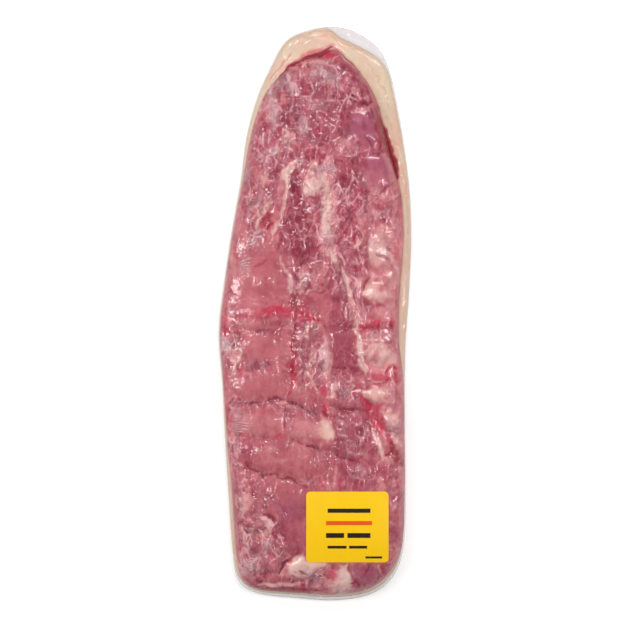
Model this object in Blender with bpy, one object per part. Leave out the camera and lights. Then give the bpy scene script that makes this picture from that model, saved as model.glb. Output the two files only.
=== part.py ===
"""A vacuum-sealed rack of raw pork loin ribs, lying bone side up, with its label.

Metres, +Z up. The origin is the middle of the underside: +Y runs along the rack to its narrow
end, and +X runs across it to the side of the backbone. The clear bag is drawn tight on what it
holds, so bag and contents are one solid, and the label that sticks to it is another.
"""

import bpy
import numpy as np

# --- Driving sizes -----------------------------------------------------------------------------
PACK_LENGTH = 0.490          # over the free edges of the bag
PACK_WIDTH = 0.165           # at the widest place
MEAT_TOP = 0.029             # the bone side's general height above the table
FAT_LAYER = 0.0115           # height of the fat layer's shoulder, under and round the meat
SEAM_HEIGHT = 0.0045         # where upper and lower film meet, at the widest line
SKIRT = 0.0012               # the film's two sheets where nothing lies between them
FAT_ROUND = 0.008            # rounding of the fat layer's upper edge
MEAT_ROUND = 0.014           # rounding of the meat's edge
LOWER_ROUND = 0.008          # rounding from the widest line down to the flat underside
LOWER_TURNS = (30, 62, 90)   # its steps, in degrees
LOBE_FULLNESS = 0.7          # 1 gives a lobe a pointed top, 0.5 a round one, less a flat one

LABEL_SIZE = (0.070, 0.060)  # across, along
LABEL_CENTRE = (0.0275, -0.181)
LABEL_CORNER = 0.0035
LABEL_THICK = 0.0003
LABEL_GAP = 0.0003
LABEL_GROUND = 0.0300        # height of the flat ground under it
LABEL_MARGIN = 0.0020        # by which that ground is larger than the label
LABEL_BLEND = 0.0080         # over which the relief comes back

COLUMNS, ROWS = 30, 94       # cells of the upper surface
EDGE_CROWDING = 0.22         # share by which cells narrow towards the outline

# --- Outlines, each as its left, top, right and bottom edge ------------------------------------
# Each edge starts at a corner, and the next edge takes over at the next corner, clockwise.
BAG_LEFT = [(-0.066, -0.229), (-0.071, -0.205), (-0.075, -0.150), (-0.078, -0.100), (-0.080, -0.060),
            (-0.083, -0.015), (-0.078, 0.030), (-0.071, 0.076), (-0.064, 0.115), (-0.059, 0.152),
            (-0.050, 0.185)]
BAG_TOP = [(-0.040, 0.208), (-0.026, 0.233), (-0.006, 0.243), (0.017, 0.246), (0.038, 0.240)]
BAG_RIGHT = [(0.056, 0.226), (0.065, 0.205), (0.072, 0.172), (0.078, 0.136), (0.082, 0.100), (0.083, 0.060),
             (0.081, 0.015), (0.078, -0.030), (0.0775, -0.090), (0.078, -0.150), (0.076, -0.200)]
BAG_BOTTOM = [(0.067, -0.226), (0.048, -0.241), (0.018, -0.246), (-0.018, -0.244), (-0.050, -0.240)]

FAT_LEFT = [(-0.064, -0.226), (-0.070, -0.204), (-0.074, -0.150), (-0.077, -0.100), (-0.079, -0.060),
            (-0.082, -0.015), (-0.077, 0.030), (-0.070, 0.076), (-0.063, 0.115), (-0.058, 0.152),
            (-0.048, 0.184)]
FAT_TOP = [(-0.036, 0.207), (-0.024, 0.231), (-0.006, 0.241), (0.014, 0.243), (0.030, 0.233)]
FAT_RIGHT = [(0.050, 0.222), (0.062, 0.203), (0.071, 0.172), (0.077, 0.136), (0.081, 0.100), (0.082, 0.060),
             (0.080, 0.015), (0.077, -0.030), (0.0765, -0.090), (0.077, -0.150), (0.074, -0.198)]
FAT_BOTTOM = [(0.063, -0.221), (0.046, -0.235), (0.018, -0.240), (-0.018, -0.238), (-0.048, -0.235)]

MEAT_LEFT = [(-0.062, -0.226), (-0.066, -0.205), (-0.068, -0.150), (-0.073, -0.115), (-0.077, -0.085),
             (-0.080, -0.050), (-0.081, -0.015), (-0.076, 0.030), (-0.069, 0.076), (-0.061, 0.115),
             (-0.054, 0.150), (-0.043, 0.182)]
MEAT_TOP_EDGE = [(-0.030, 0.203), (-0.014, 0.215), (0.002, 0.221), (0.016, 0.226), (0.026, 0.219)]
MEAT_RIGHT = [(0.038, 0.206), (0.050, 0.188), (0.057, 0.168), (0.061, 0.148), (0.068, 0.124), (0.074, 0.098),
              (0.0755, 0.060), (0.072, 0.015), (0.072, -0.025), (0.0755, -0.060), (0.077, -0.110),
              (0.0765, -0.160), (0.073, -0.200)]
MEAT_BOTTOM = [(0.062, -0.220), (0.044, -0.234), (0.016, -0.239), (-0.018, -0.237), (-0.048, -0.234)]

# --- Relief of the bone side -------------------------------------------------------------------
# How the meat's height runs along the rack (y, height share) and across it (x, rise).
ALONG = [(-0.245, 0.72), (-0.210, 0.93), (-0.150, 1.00), (0.060, 1.00), (0.130, 0.95), (0.180, 0.82),
         (0.226, 0.60)]
ACROSS = [(-0.083, -0.0080), (-0.060, -0.0040), (-0.040, -0.0015), (-0.018, -0.0015), (0.010, 0.0000),
          (0.045, 0.0015), (0.062, 0.0020), (0.080, 0.0000)]

# Grooves between the ribs, numbered from the wide end: (depth, width, route).
RIB_GROOVES = [
    (0.0032, 0.0034, [(-0.062, -0.122), (-0.045, -0.136), (-0.028, -0.140), (-0.008, -0.147), (0.016, -0.151)]),
    (0.0034, 0.0034, [(-0.070, -0.104), (-0.033, -0.107), (-0.004, -0.114), (0.022, -0.122), (0.052, -0.128)]),
    (0.0036, 0.0034, [(-0.070, -0.079), (-0.036, -0.073), (-0.014, -0.077), (0.006, -0.085), (0.040, -0.084)]),
    (0.0026, 0.0034, [(-0.066, -0.036), (-0.034, -0.043), (-0.004, -0.050), (0.012, -0.046), (0.036, -0.049)]),
    (0.0026, 0.0034, [(-0.066, -0.009), (-0.028, -0.006), (0.000, -0.008), (0.018, -0.013), (0.035, -0.013)]),
    (0.0022, 0.0034, [(-0.060, 0.012), (-0.034, 0.016), (-0.010, 0.016), (0.012, 0.023)]),
    (0.0014, 0.0036, [(-0.068, 0.050), (-0.050, 0.047), (-0.032, 0.045)]),
]
# Seams between muscles, lengthwise: (depth, width, route).
SEAMS = [
    (0.0030, 0.0030, [(-0.017, 0.016), (-0.016, -0.012), (-0.018, -0.040), (-0.020, -0.070)]),
    (0.0022, 0.0030, [(-0.025, -0.076), (-0.027, -0.088), (-0.027, -0.104)]),
    (0.0030, 0.0030, [(-0.007, 0.049), (-0.015, 0.039), (-0.019, 0.026), (-0.016, 0.016)]),
    (0.0026, 0.0030, [(0.040, -0.084), (0.049, -0.097), (0.055, -0.116), (0.059, -0.128)]),
    (0.0018, 0.0030, [(0.017, -0.088), (0.017, -0.104), (0.018, -0.120), (0.018, -0.146)]),
    (0.0030, 0.0032, [(0.040, 0.070), (0.046, 0.036), (0.041, 0.020), (0.045, -0.004), (0.040, -0.020),
                      (0.045, -0.046), (0.043, -0.072), (0.058, -0.098), (0.076, -0.126)]),
    (0.0045, 0.0060, [(-0.016, 0.118), (-0.015, 0.100), (-0.010, 0.084)]),
    (0.0035, 0.0032, [(-0.026, -0.206), (-0.018, -0.204), (-0.028, -0.220), (-0.050, -0.222)]),
    (0.0026, 0.0030, [(-0.050, -0.231), (-0.020, -0.230), (0.002, -0.231)]),
]
# Muscle lobes, fat pads and knuckles of the backbone: (height, x, y, half width, half length, turn in degrees).
LOBES = [
    (0.0045, 0.040, 0.160, 0.018, 0.020, 0), (0.0040, 0.052, 0.120, 0.016, 0.020, 12),
    (0.0030, 0.026, 0.204, 0.012, 0.017, 35), (0.0028, -0.002, 0.204, 0.013, 0.011, 0),
    (0.0030, -0.020, 0.196, 0.011, 0.012, -30), (0.0030, -0.035, 0.178, 0.010, 0.015, -25),
    (0.0030, 0.012, 0.180, 0.014, 0.014, 0), (0.0026, -0.014, 0.178, 0.012, 0.010, 0),
    (0.0030, 0.008, 0.154, 0.013, 0.013, 0), (0.0028, -0.044, 0.146, 0.012, 0.016, -12),
    (0.0030, 0.026, 0.128, 0.015, 0.015, 0), (0.0026, -0.048, 0.110, 0.013, 0.019, -8),
    (0.0050, 0.053, 0.053, 0.010, 0.019, 12), (0.0045, 0.053, 0.018, 0.013, 0.012, 0),
    (0.0040, 0.054, -0.034, 0.010, 0.010, 0), (0.0040, 0.051, -0.068, 0.010, 0.009, 0),
    (0.0042, 0.066, -0.090, 0.009, 0.011, 0), (0.0030, 0.070, -0.112, 0.006, 0.010, 20),
    (0.0030, 0.004, 0.032, 0.014, 0.013, 0), (0.0026, 0.033, -0.104, 0.015, 0.020, 10),
    (0.0028, -0.024, -0.172, 0.020, 0.031, 12), (0.0026, -0.058, -0.160, 0.009, 0.012, 10),
    (0.0028, -0.046, -0.180, 0.015, 0.007, -5), (0.0034, -0.050, -0.195, 0.010, 0.009, 0),
    (0.0030, -0.034, -0.198, 0.010, 0.010, 0), (0.0030, -0.044, -0.212, 0.016, 0.008, 0),
    (0.0030, -0.008, -0.217, 0.020, 0.010, 8), (0.0034, 0.021, -0.226, 0.012, 0.015, 0),
    (0.0030, 0.041, -0.222, 0.012, 0.015, 15),
]

FILM_COLOUR = (0.62, 0.24, 0.26, 1.0)
LABEL_COLOUR = (0.88, 0.53, 0.01, 1.0)


def spline(points, closed, steps=12):
    """Catmull-Rom curve through the points, as a dense line of points."""
    p = np.array(points, float)
    if closed:
        p = np.vstack([p[-1], p, p[:2]])
    else:
        p = np.vstack([2 * p[0] - p[1], p, 2 * p[-1] - p[-2]])
    t = np.linspace(0, 1, steps, endpoint=False)[:, None]
    runs = [
        0.5 * (2 * b + (c - a) * t + (2 * a - 5 * b + 4 * c - d) * t**2 + (3 * b - a - 3 * c + d) * t**3)
        for a, b, c, d in zip(p, p[1:], p[2:], p[3:])
    ]
    return np.vstack(runs + ([] if closed else [p[-2:-1]]))


def resample(line, count):
    """count + 1 points along the line, closer together near its ends."""
    lengths = np.r_[0, np.cumsum(np.linalg.norm(np.diff(line, axis=0), axis=1))]
    at = crowded(count) * lengths[-1]
    return np.column_stack([np.interp(at, lengths, line[:, i]) for i in range(2)])


def crowded(count):
    """Shares from 0 to 1 in count steps, the end steps narrower than the middle ones."""
    t = np.linspace(0, 1, count + 1)
    return t - EDGE_CROWDING * np.sin(2 * np.pi * t) / (2 * np.pi)


def outline(*edges):
    """The closed outline through four edges, and where along it each edge starts."""
    steps = 12
    starts = np.cumsum([0] + [len(e) for e in edges]) * steps
    return spline([p for e in edges for p in e], closed=True, steps=steps), starts


def patch_in(loop, starts):
    """A grid of points, (rows + 1, columns + 1, 2), that fills the outline and ends on it."""
    def edge(i, count):
        line = np.take(loop, range(starts[i], starts[i + 1] + 1), axis=0, mode="wrap")
        return resample(line, count)

    left, top = edge(0, ROWS), edge(1, COLUMNS)
    right, bottom = edge(2, ROWS)[::-1], edge(3, COLUMNS)[::-1]
    u = crowded(COLUMNS)[None, :, None]
    v = crowded(ROWS)[:, None, None]
    sides = (1 - u) * left[:, None] + u * right[:, None]
    ends = (1 - v) * bottom[None] + v * top[None]
    corners = (1 - v) * ((1 - u) * left[0] + u * right[0]) + v * ((1 - u) * left[-1] + u * right[-1])
    return sides + ends - corners


def distance_to(line, points):
    """Distance of each point from a line of points, taken as straight runs."""
    best = np.full(len(points), np.inf)
    for a, b in zip(line, line[1:]):
        run = b - a
        share = np.clip(((points - a) @ run) / max(run @ run, 1e-12), 0, 1)
        best = np.minimum(best, np.linalg.norm(points - a - share[:, None] * run, axis=1))
    return best


def depth_inside(loop, points):
    """Distance inside a closed outline, 0 outside it."""
    ring = np.vstack([loop, loop[:1]])
    x, y = points[:, 0], points[:, 1]
    inside = np.zeros(len(points), bool)
    for (ax, ay), (bx, by) in zip(ring, ring[1:]):
        crosses = (ay > y) != (by > y)
        inside ^= crosses & (x < (bx - ax) * (y - ay) / (by - ay if by != ay else 1e-12) + ax)
    return np.where(inside, distance_to(ring, points), 0)


def quarter_round(depth, radius):
    """0 at an edge, rising as a quarter circle to 1 one radius in."""
    return np.sqrt(1 - (1 - np.clip(depth / radius, 0, 1)) ** 2)


def smooth_step(t):
    t = np.clip(t, 0, 1)
    return t * t * (3 - 2 * t)


def relief(points):
    """Rise of the bone side over its general height: lobes stand up, grooves and seams cut in."""
    rise = np.zeros(len(points))
    for height, x, y, half_width, half_length, turn in LOBES:
        angle = np.radians(turn)
        across, along = np.array([np.cos(angle), np.sin(angle)]), np.array([-np.sin(angle), np.cos(angle)])
        offset = points - (x, y)
        reach = (offset @ across / half_width) ** 2 + (offset @ along / half_length) ** 2
        rise = np.maximum(rise, height * np.clip(1 - reach, 0, 1) ** LOBE_FULLNESS)
    cut = np.zeros(len(points))
    for depth, width, route in RIB_GROOVES + SEAMS:
        away = distance_to(spline(route, closed=False, steps=5), points)
        cut = np.maximum(cut, depth * np.exp(-((away / width) ** 2)))
    return rise - cut


def label_ground(points):
    """1 under the label and its margin, where the surface is flat, falling to 0 round it."""
    beyond = np.abs(points - LABEL_CENTRE) - np.array(LABEL_SIZE) / 2 - LABEL_MARGIN
    return 1 - smooth_step(np.linalg.norm(np.clip(beyond, 0, None), axis=1) / LABEL_BLEND)


def upper_heights(points, fat_loop, meat_loop):
    """Height of the upper film over each point: skirt, fat layer and meat, one step upon another."""
    ground = label_ground(points)
    fat = quarter_round(depth_inside(fat_loop, points), FAT_ROUND)
    meat = np.maximum(quarter_round(depth_inside(meat_loop, points), MEAT_ROUND), ground)
    shoulder = SEAM_HEIGHT + SKIRT / 2 + (FAT_LAYER - SEAM_HEIGHT) * fat
    bone_side = MEAT_TOP * np.interp(points[:, 1], *zip(*ALONG)) + np.interp(points[:, 0], *zip(*ACROSS))
    bone_side = (bone_side + relief(points)) * (1 - ground) + LABEL_GROUND * ground
    return shoulder + (bone_side - shoulder) * meat


def in_place(vertices):
    """The plan brought to the pack's width and length, with the outline's middle at the origin."""
    loop, _ = outline(BAG_LEFT, BAG_TOP, BAG_RIGHT, BAG_BOTTOM)
    low, high = loop.min(axis=0), loop.max(axis=0)
    scale_x, scale_y = (PACK_WIDTH, PACK_LENGTH) / (high - low)
    middle_x, middle_y = (low + high) / 2
    return [((x - middle_x) * scale_x, (y - middle_y) * scale_y, z) for x, y, z in vertices]


def material(name, colour, roughness):
    """A plain finish with its colour, roughness and no metal."""
    made = bpy.data.materials.new(name)
    made.use_nodes = True
    surface = made.node_tree.nodes["Principled BSDF"]
    surface.inputs["Base Color"].default_value = colour
    surface.inputs["Roughness"].default_value = roughness
    surface.inputs["Metallic"].default_value = 0.0
    return made


def mesh_object(name, vertices, faces, finish, parent):
    """A new object of these faces, shaded smooth, with its finish."""
    mesh = bpy.data.meshes.new(name)
    mesh.from_pydata(in_place(vertices), [], faces)
    mesh.shade_smooth()
    mesh.materials.append(finish)
    made = bpy.data.objects.new(name, mesh)
    made.parent = parent
    bpy.context.scene.collection.objects.link(made)
    return made


def boundary(rows, columns):
    """Indices of the grid's outer points, once round, anticlockwise seen from above."""
    grid = np.arange(rows * columns).reshape(rows, columns)
    return [*grid[0, :-1], *grid[:-1, -1], *grid[-1, :0:-1], *grid[:0:-1, 0]]


def sealed_bag(parent):
    """The bag drawn tight on rack and fat layer: relief above, a flat underside, round sides."""
    bag_loop, bag_starts = outline(BAG_LEFT, BAG_TOP, BAG_RIGHT, BAG_BOTTOM)
    fat_loop, _ = outline(FAT_LEFT, FAT_TOP, FAT_RIGHT, FAT_BOTTOM)
    meat_loop, _ = outline(MEAT_LEFT, MEAT_TOP_EDGE, MEAT_RIGHT, MEAT_BOTTOM)

    grid = patch_in(bag_loop, bag_starts)
    flat = grid.reshape(-1, 2)
    heights = upper_heights(flat, fat_loop, meat_loop)
    vertices = [(x, y, z) for (x, y), z in zip(flat, heights)]
    rows, columns = grid.shape[:2]
    faces = [
        (i * columns + j, i * columns + j + 1, (i + 1) * columns + j + 1, (i + 1) * columns + j)
        for i in range(rows - 1)
        for j in range(columns - 1)
    ]

    ring = boundary(rows, columns)
    edge = flat[ring]
    tangent = np.roll(edge, -1, axis=0) - np.roll(edge, 1, axis=0)
    inward = np.column_stack([-tangent[:, 1], tangent[:, 0]]) / np.linalg.norm(tangent, axis=1)[:, None]
    skirt_width = distance_to(np.vstack([fat_loop, fat_loop[:1]]), edge)
    for turn in np.radians(LOWER_TURNS):
        inset = skirt_width + LOWER_ROUND * (1 - np.cos(turn))
        lower = edge + inward * inset[:, None]
        height = (SEAM_HEIGHT - SKIRT / 2) * (1 - np.sin(turn))
        first = len(vertices)
        vertices += [(x, y, height) for x, y in lower]
        new_ring = list(range(first, first + len(ring)))
        faces += [
            (ring[k], new_ring[k], new_ring[(k + 1) % len(ring)], ring[(k + 1) % len(ring)])
            for k in range(len(ring))
        ]
        ring = new_ring
    faces.append(tuple(reversed(ring)))
    return mesh_object("sealed_bag", vertices, faces, material("clear_film_on_meat", FILM_COLOUR, 0.25), parent)


def label(parent):
    """A flat label with round corners, a hair above the film."""
    turns = np.linspace(0, np.pi / 2, 7)
    bottom = LABEL_GROUND + LABEL_GAP
    rim = []
    for quarter, (sx, sy) in enumerate([(1, 1), (-1, 1), (-1, -1), (1, -1)]):
        centre = [
            c + s * (size / 2 - LABEL_CORNER) for c, s, size in zip(LABEL_CENTRE, (sx, sy), LABEL_SIZE)
        ]
        for turn in turns + quarter * np.pi / 2:
            rim.append((centre[0] + LABEL_CORNER * np.cos(turn), centre[1] + LABEL_CORNER * np.sin(turn)))
    count = len(rim)
    vertices = [(x, y, z) for z in (bottom, bottom + LABEL_THICK) for x, y in rim]
    faces = [tuple(range(count - 1, -1, -1)), tuple(range(count, 2 * count))]
    faces += [(k, (k + 1) % count, (k + 1) % count + count, k + count) for k in range(count)]
    made = mesh_object("label", vertices, faces, material("label_yellow", LABEL_COLOUR, 0.4), parent)
    made.data.set_sharp_from_angle(angle=np.radians(30))
    return made


def main():
    for old in list(bpy.data.objects):
        bpy.data.objects.remove(old)
    pack = bpy.data.objects.new("vacuum_pack", None)
    bpy.context.scene.collection.objects.link(pack)
    sealed_bag(pack)
    label(pack)


main()
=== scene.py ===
"""A vacuum-packed raw rack of pork loin ribs: the looks of its meat, fat layer, film and label.

The rack lies bone side up on its own fat layer. Plan coordinates are millimetres: x across the
rack towards the backbone side, y along it towards the narrow end. The tables below hold what a
butcher would point at, and the highlights and shade painted into the tissue, each feature at its
place in the plan, and the outlines repeat those of the CAD solid, to whose box everything is
brought at the end.
"""

import functools
import math

import bpy
import numpy as np
from bpy.props import FloatProperty, FloatVectorProperty, PointerProperty
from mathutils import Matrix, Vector


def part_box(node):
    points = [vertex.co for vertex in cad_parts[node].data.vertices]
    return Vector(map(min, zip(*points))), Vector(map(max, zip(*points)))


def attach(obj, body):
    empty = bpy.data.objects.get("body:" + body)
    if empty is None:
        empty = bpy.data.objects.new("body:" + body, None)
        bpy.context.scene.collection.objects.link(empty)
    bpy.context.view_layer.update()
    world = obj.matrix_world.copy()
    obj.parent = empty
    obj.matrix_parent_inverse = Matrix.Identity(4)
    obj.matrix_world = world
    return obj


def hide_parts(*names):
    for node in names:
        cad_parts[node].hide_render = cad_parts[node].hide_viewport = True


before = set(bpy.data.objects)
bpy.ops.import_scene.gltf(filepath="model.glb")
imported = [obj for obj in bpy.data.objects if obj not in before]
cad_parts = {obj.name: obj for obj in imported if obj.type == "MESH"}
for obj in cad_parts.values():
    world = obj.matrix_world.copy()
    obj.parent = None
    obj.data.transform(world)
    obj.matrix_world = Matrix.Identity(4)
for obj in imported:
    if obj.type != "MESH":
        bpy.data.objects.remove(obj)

bl_info = {
    "name": "Vacuum-packed rack of ribs",
    "version": (1, 0, 0),
    "blender": (4, 5, 0),
    "location": "View3D > Sidebar > Rack of ribs",
    "description": "Builds the meat, fat layer, clear film and label of a packed rack of ribs",
    "category": "Mesh",
}

MM = 0.001

# --- Outlines, each as its left, top, right and bottom edge, clockwise ---------------------------
BAG = (
    [(-66, -229), (-71, -205), (-75, -150), (-78, -100), (-80, -60), (-83, -15), (-78, 30), (-71, 76),
     (-64, 115), (-59, 152), (-50, 185)],
    [(-40, 208), (-26, 233), (-6, 243), (17, 246), (38, 240)],
    [(56, 226), (65, 205), (72, 172), (78, 136), (82, 100), (83, 60), (81, 15), (78, -30), (77.5, -90),
     (78, -150), (76, -200)],
    [(67, -226), (48, -241), (18, -246), (-18, -244), (-50, -240)],
)
FAT = (
    [(-65, -227), (-70.4, -204.5), (-74.4, -150), (-77.4, -100), (-79.4, -60), (-82.4, -15), (-77.4, 30),
     (-70.4, 76), (-63.4, 115), (-58.4, 152), (-49.4, 184.6)],
    [(-39, 208), (-25.4, 232.4), (-6, 242.4), (11, 244.6), (24, 236)],
    [(43, 226.5), (57, 217), (64.4, 203), (71, 172), (77.4, 136), (81.4, 100), (82.4, 60), (80.4, 15),
     (77.4, -30), (77, -90), (77.4, -150), (75, -199)],
    [(65.6, -224), (47.4, -238.6), (18, -243.2), (-18, -241.2), (-49.4, -238)],
)
MEAT = (
    [(-62.6, -227), (-67.4, -205), (-71.4, -150), (-75, -115), (-77, -85), (-79.6, -50), (-81.6, -15),
     (-76.6, 30), (-69.4, 76), (-61.8, 115), (-55.6, 150), (-45, 183)],
    [(-30, 203), (-14, 215), (2, 221), (16, 226), (26, 219)],
    [(38, 206), (50, 188), (57, 168), (61, 148), (68, 124), (74, 98), (75.5, 60), (72, 15), (72, -25),
     (76.2, -60), (77, -110), (77, -160), (74.4, -200)],
    [(64, -222), (46, -235.6), (17, -240.6), (-18, -238.8), (-49, -236)],
)

# --- General form of the bone side --------------------------------------------------------------
# How the meat's height runs along the rack (y, share of the height) and across it (x, rise).
ALONG = [(-245, 0.72), (-210, 0.93), (-150, 1.00), (60, 1.00), (130, 0.95), (180, 0.82), (226, 0.60)]
ACROSS = [(-83, -8.0), (-60, -4.0), (-40, -1.5), (-18, -1.5), (10, 0.0), (45, 1.5), (62, 2.0), (80, 0.0)]

# Muscle lobes, fat pads and knuckles: height, x, y, half width, half length, turn in degrees.
LOBES = [
    (4.5, 40, 160, 18, 20, 0), (4.0, 52, 120, 16, 20, 12), (3.0, 26, 204, 12, 17, 35),
    (2.8, -2, 204, 13, 11, 0), (3.0, -20, 196, 11, 12, -30), (3.0, -35, 178, 10, 15, -25),
    (3.0, 12, 180, 14, 14, 0), (2.6, -14, 178, 12, 10, 0), (3.0, 8, 154, 13, 13, 0),
    (2.8, -44, 146, 12, 16, -12), (3.0, 26, 128, 15, 15, 0), (2.6, -48, 110, 13, 19, -8),
    (5.0, 53, 53, 10, 19, 12), (4.5, 53, 18, 13, 12, 0), (4.0, 54, -34, 10, 10, 0),
    (4.0, 51, -68, 10, 9, 0), (4.2, 66, -90, 9, 11, 0), (3.0, 70, -112, 6, 10, 20), (3.0, 4, 32, 14, 13, 0),
    (2.6, 33, -104, 15, 20, 10), (2.8, -24, -172, 20, 31, 12), (2.6, -58, -160, 9, 12, 10),
    (2.8, -46, -180, 15, 7, -5), (3.4, -50, -195, 10, 9, 0), (3.0, -34, -198, 10, 10, 0),
    (3.0, -44, -212, 16, 8, 0), (3.0, -8, -217, 20, 10, 8), (3.4, 21, -226, 12, 15, 0),
    (3.0, 41, -222, 12, 15, 15), (1.2, -50, 92, 16, 16, 20), (1.2, -52, 62, 18, 13, 10),
    (1.0, -50, 32, 18, 13, 5), (1.3, -52, 2, 20, 6, 0), (1.4, -52, -26, 20, 11, 4),
    (1.4, -52, -60, 20, 13, 0), (1.5, -52, -92, 20, 12, 0), (1.4, -48, -120, 19, 11, -15),
    (1.0, -12, -62, 13, 12, 0), (1.3, -12, -96, 14, 12, -8), (1.2, -14, -128, 18, 11, -10),
    (1.2, 24, -30, 11, 14, 0), (1.2, 24, -66, 13, 14, 0), (1.1, 28, 50, 12, 12, 0),
    (1.1, 28, 22, 11, 11, 0), (1.1, -14, 62, 15, 12, 0),
]

# Grooves between the ribs and seams between muscles: depth, width, route.
GROOVES = [
    (2.4, 3.0, [(-62, -122), (-58, -130), (-52, -134), (-47, -136), (-44, -141), (-32, -138),
        (-20, -141), (-12, -146), (0, -150), (16, -151)]),
    (2.2, 3.2, [(-70, -104), (-50, -105), (-33, -107), (-20, -107), (-10, -111), (0, -114.5),
        (14, -118), (22, -122), (38, -127), (52, -128)]),
    (2.8, 3.0, [(-70, -80), (-58, -78), (-45, -76), (-33, -73), (-24, -75), (-13, -79), (-5, -84),
        (6, -85), (12, -79), (28, -82), (40, -84)]),
    (2.0, 3.0, [(-66, -36), (-58, -41), (-44, -42), (-34, -43), (-20, -49), (-4, -50), (12, -46),
        (36, -49)]),
    (2.2, 3.0, [(-66, -14), (-47, -14.5), (-38, -9), (-28, -6), (0, -8), (8, -11), (18, -13), (35, -13)]),
    (1.6, 3.0, [(-60, 12), (-34, 16), (-10, 16), (2, 19), (12, 24)]),
    (1.0, 3.4, [(-68, 50), (-50, 47), (-32, 45)]),
    (2.4, 2.6, [(-17, 16), (-16, 4), (-17, -12), (-19, -30), (-18, -46), (-20, -70)]),
    (1.8, 2.6, [(-25, -77), (-26, -92), (-25, -104)]),
    (2.2, 2.6, [(-7, 49), (-11, 44), (-14, 40), (-17, 33), (-19, 26), (-16, 16)]),
    (2.2, 2.6, [(40, -84), (49, -97), (55, -110), (59, -128)]),
    (1.4, 2.6, [(17, -88), (17, -104), (18, -120), (18, -146)]),
    (2.4, 3.0, [(40, 70), (46, 36), (41, 20), (45, -4), (40, -20), (45, -46), (43, -72), (58, -98),
        (76, -126)]),
    (3.8, 5.0, [(-16, 118), (-16, 108), (-14, 96), (-10, 84)]),
    (2.8, 2.8, [(-16, -204), (-20, -207), (-24, -211), (-28, -220), (-38, -222), (-50, -222)]),
    (2.0, 2.6, [(-50, -231), (-20, -230), (2, -231)]), (1.6, 2.6, [(-31, -180), (-43, -173), (-50, -171)]),
    (1.4, 2.4, [(-30, -186), (-42, -188), (-60, -186)]),
    (1.4, 2.4, [(50, 174), (57, 162), (58, 150), (60, 142), (67, 130), (72, 112)]),
    (1.4, 2.4, [(68, 112), (61, 107), (55, 100), (44, 97)]), (1.2, 2.4, [(48, 94), (53, 91), (60, 87)]),
    (1.2, 2.2, [(17, 111), (22, 108), (27, 107), (34, 100), (40, 91)]),
    (1.2, 2.2, [(30, -211), (29, -217), (33, -226), (37, -230)]),
]

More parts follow.
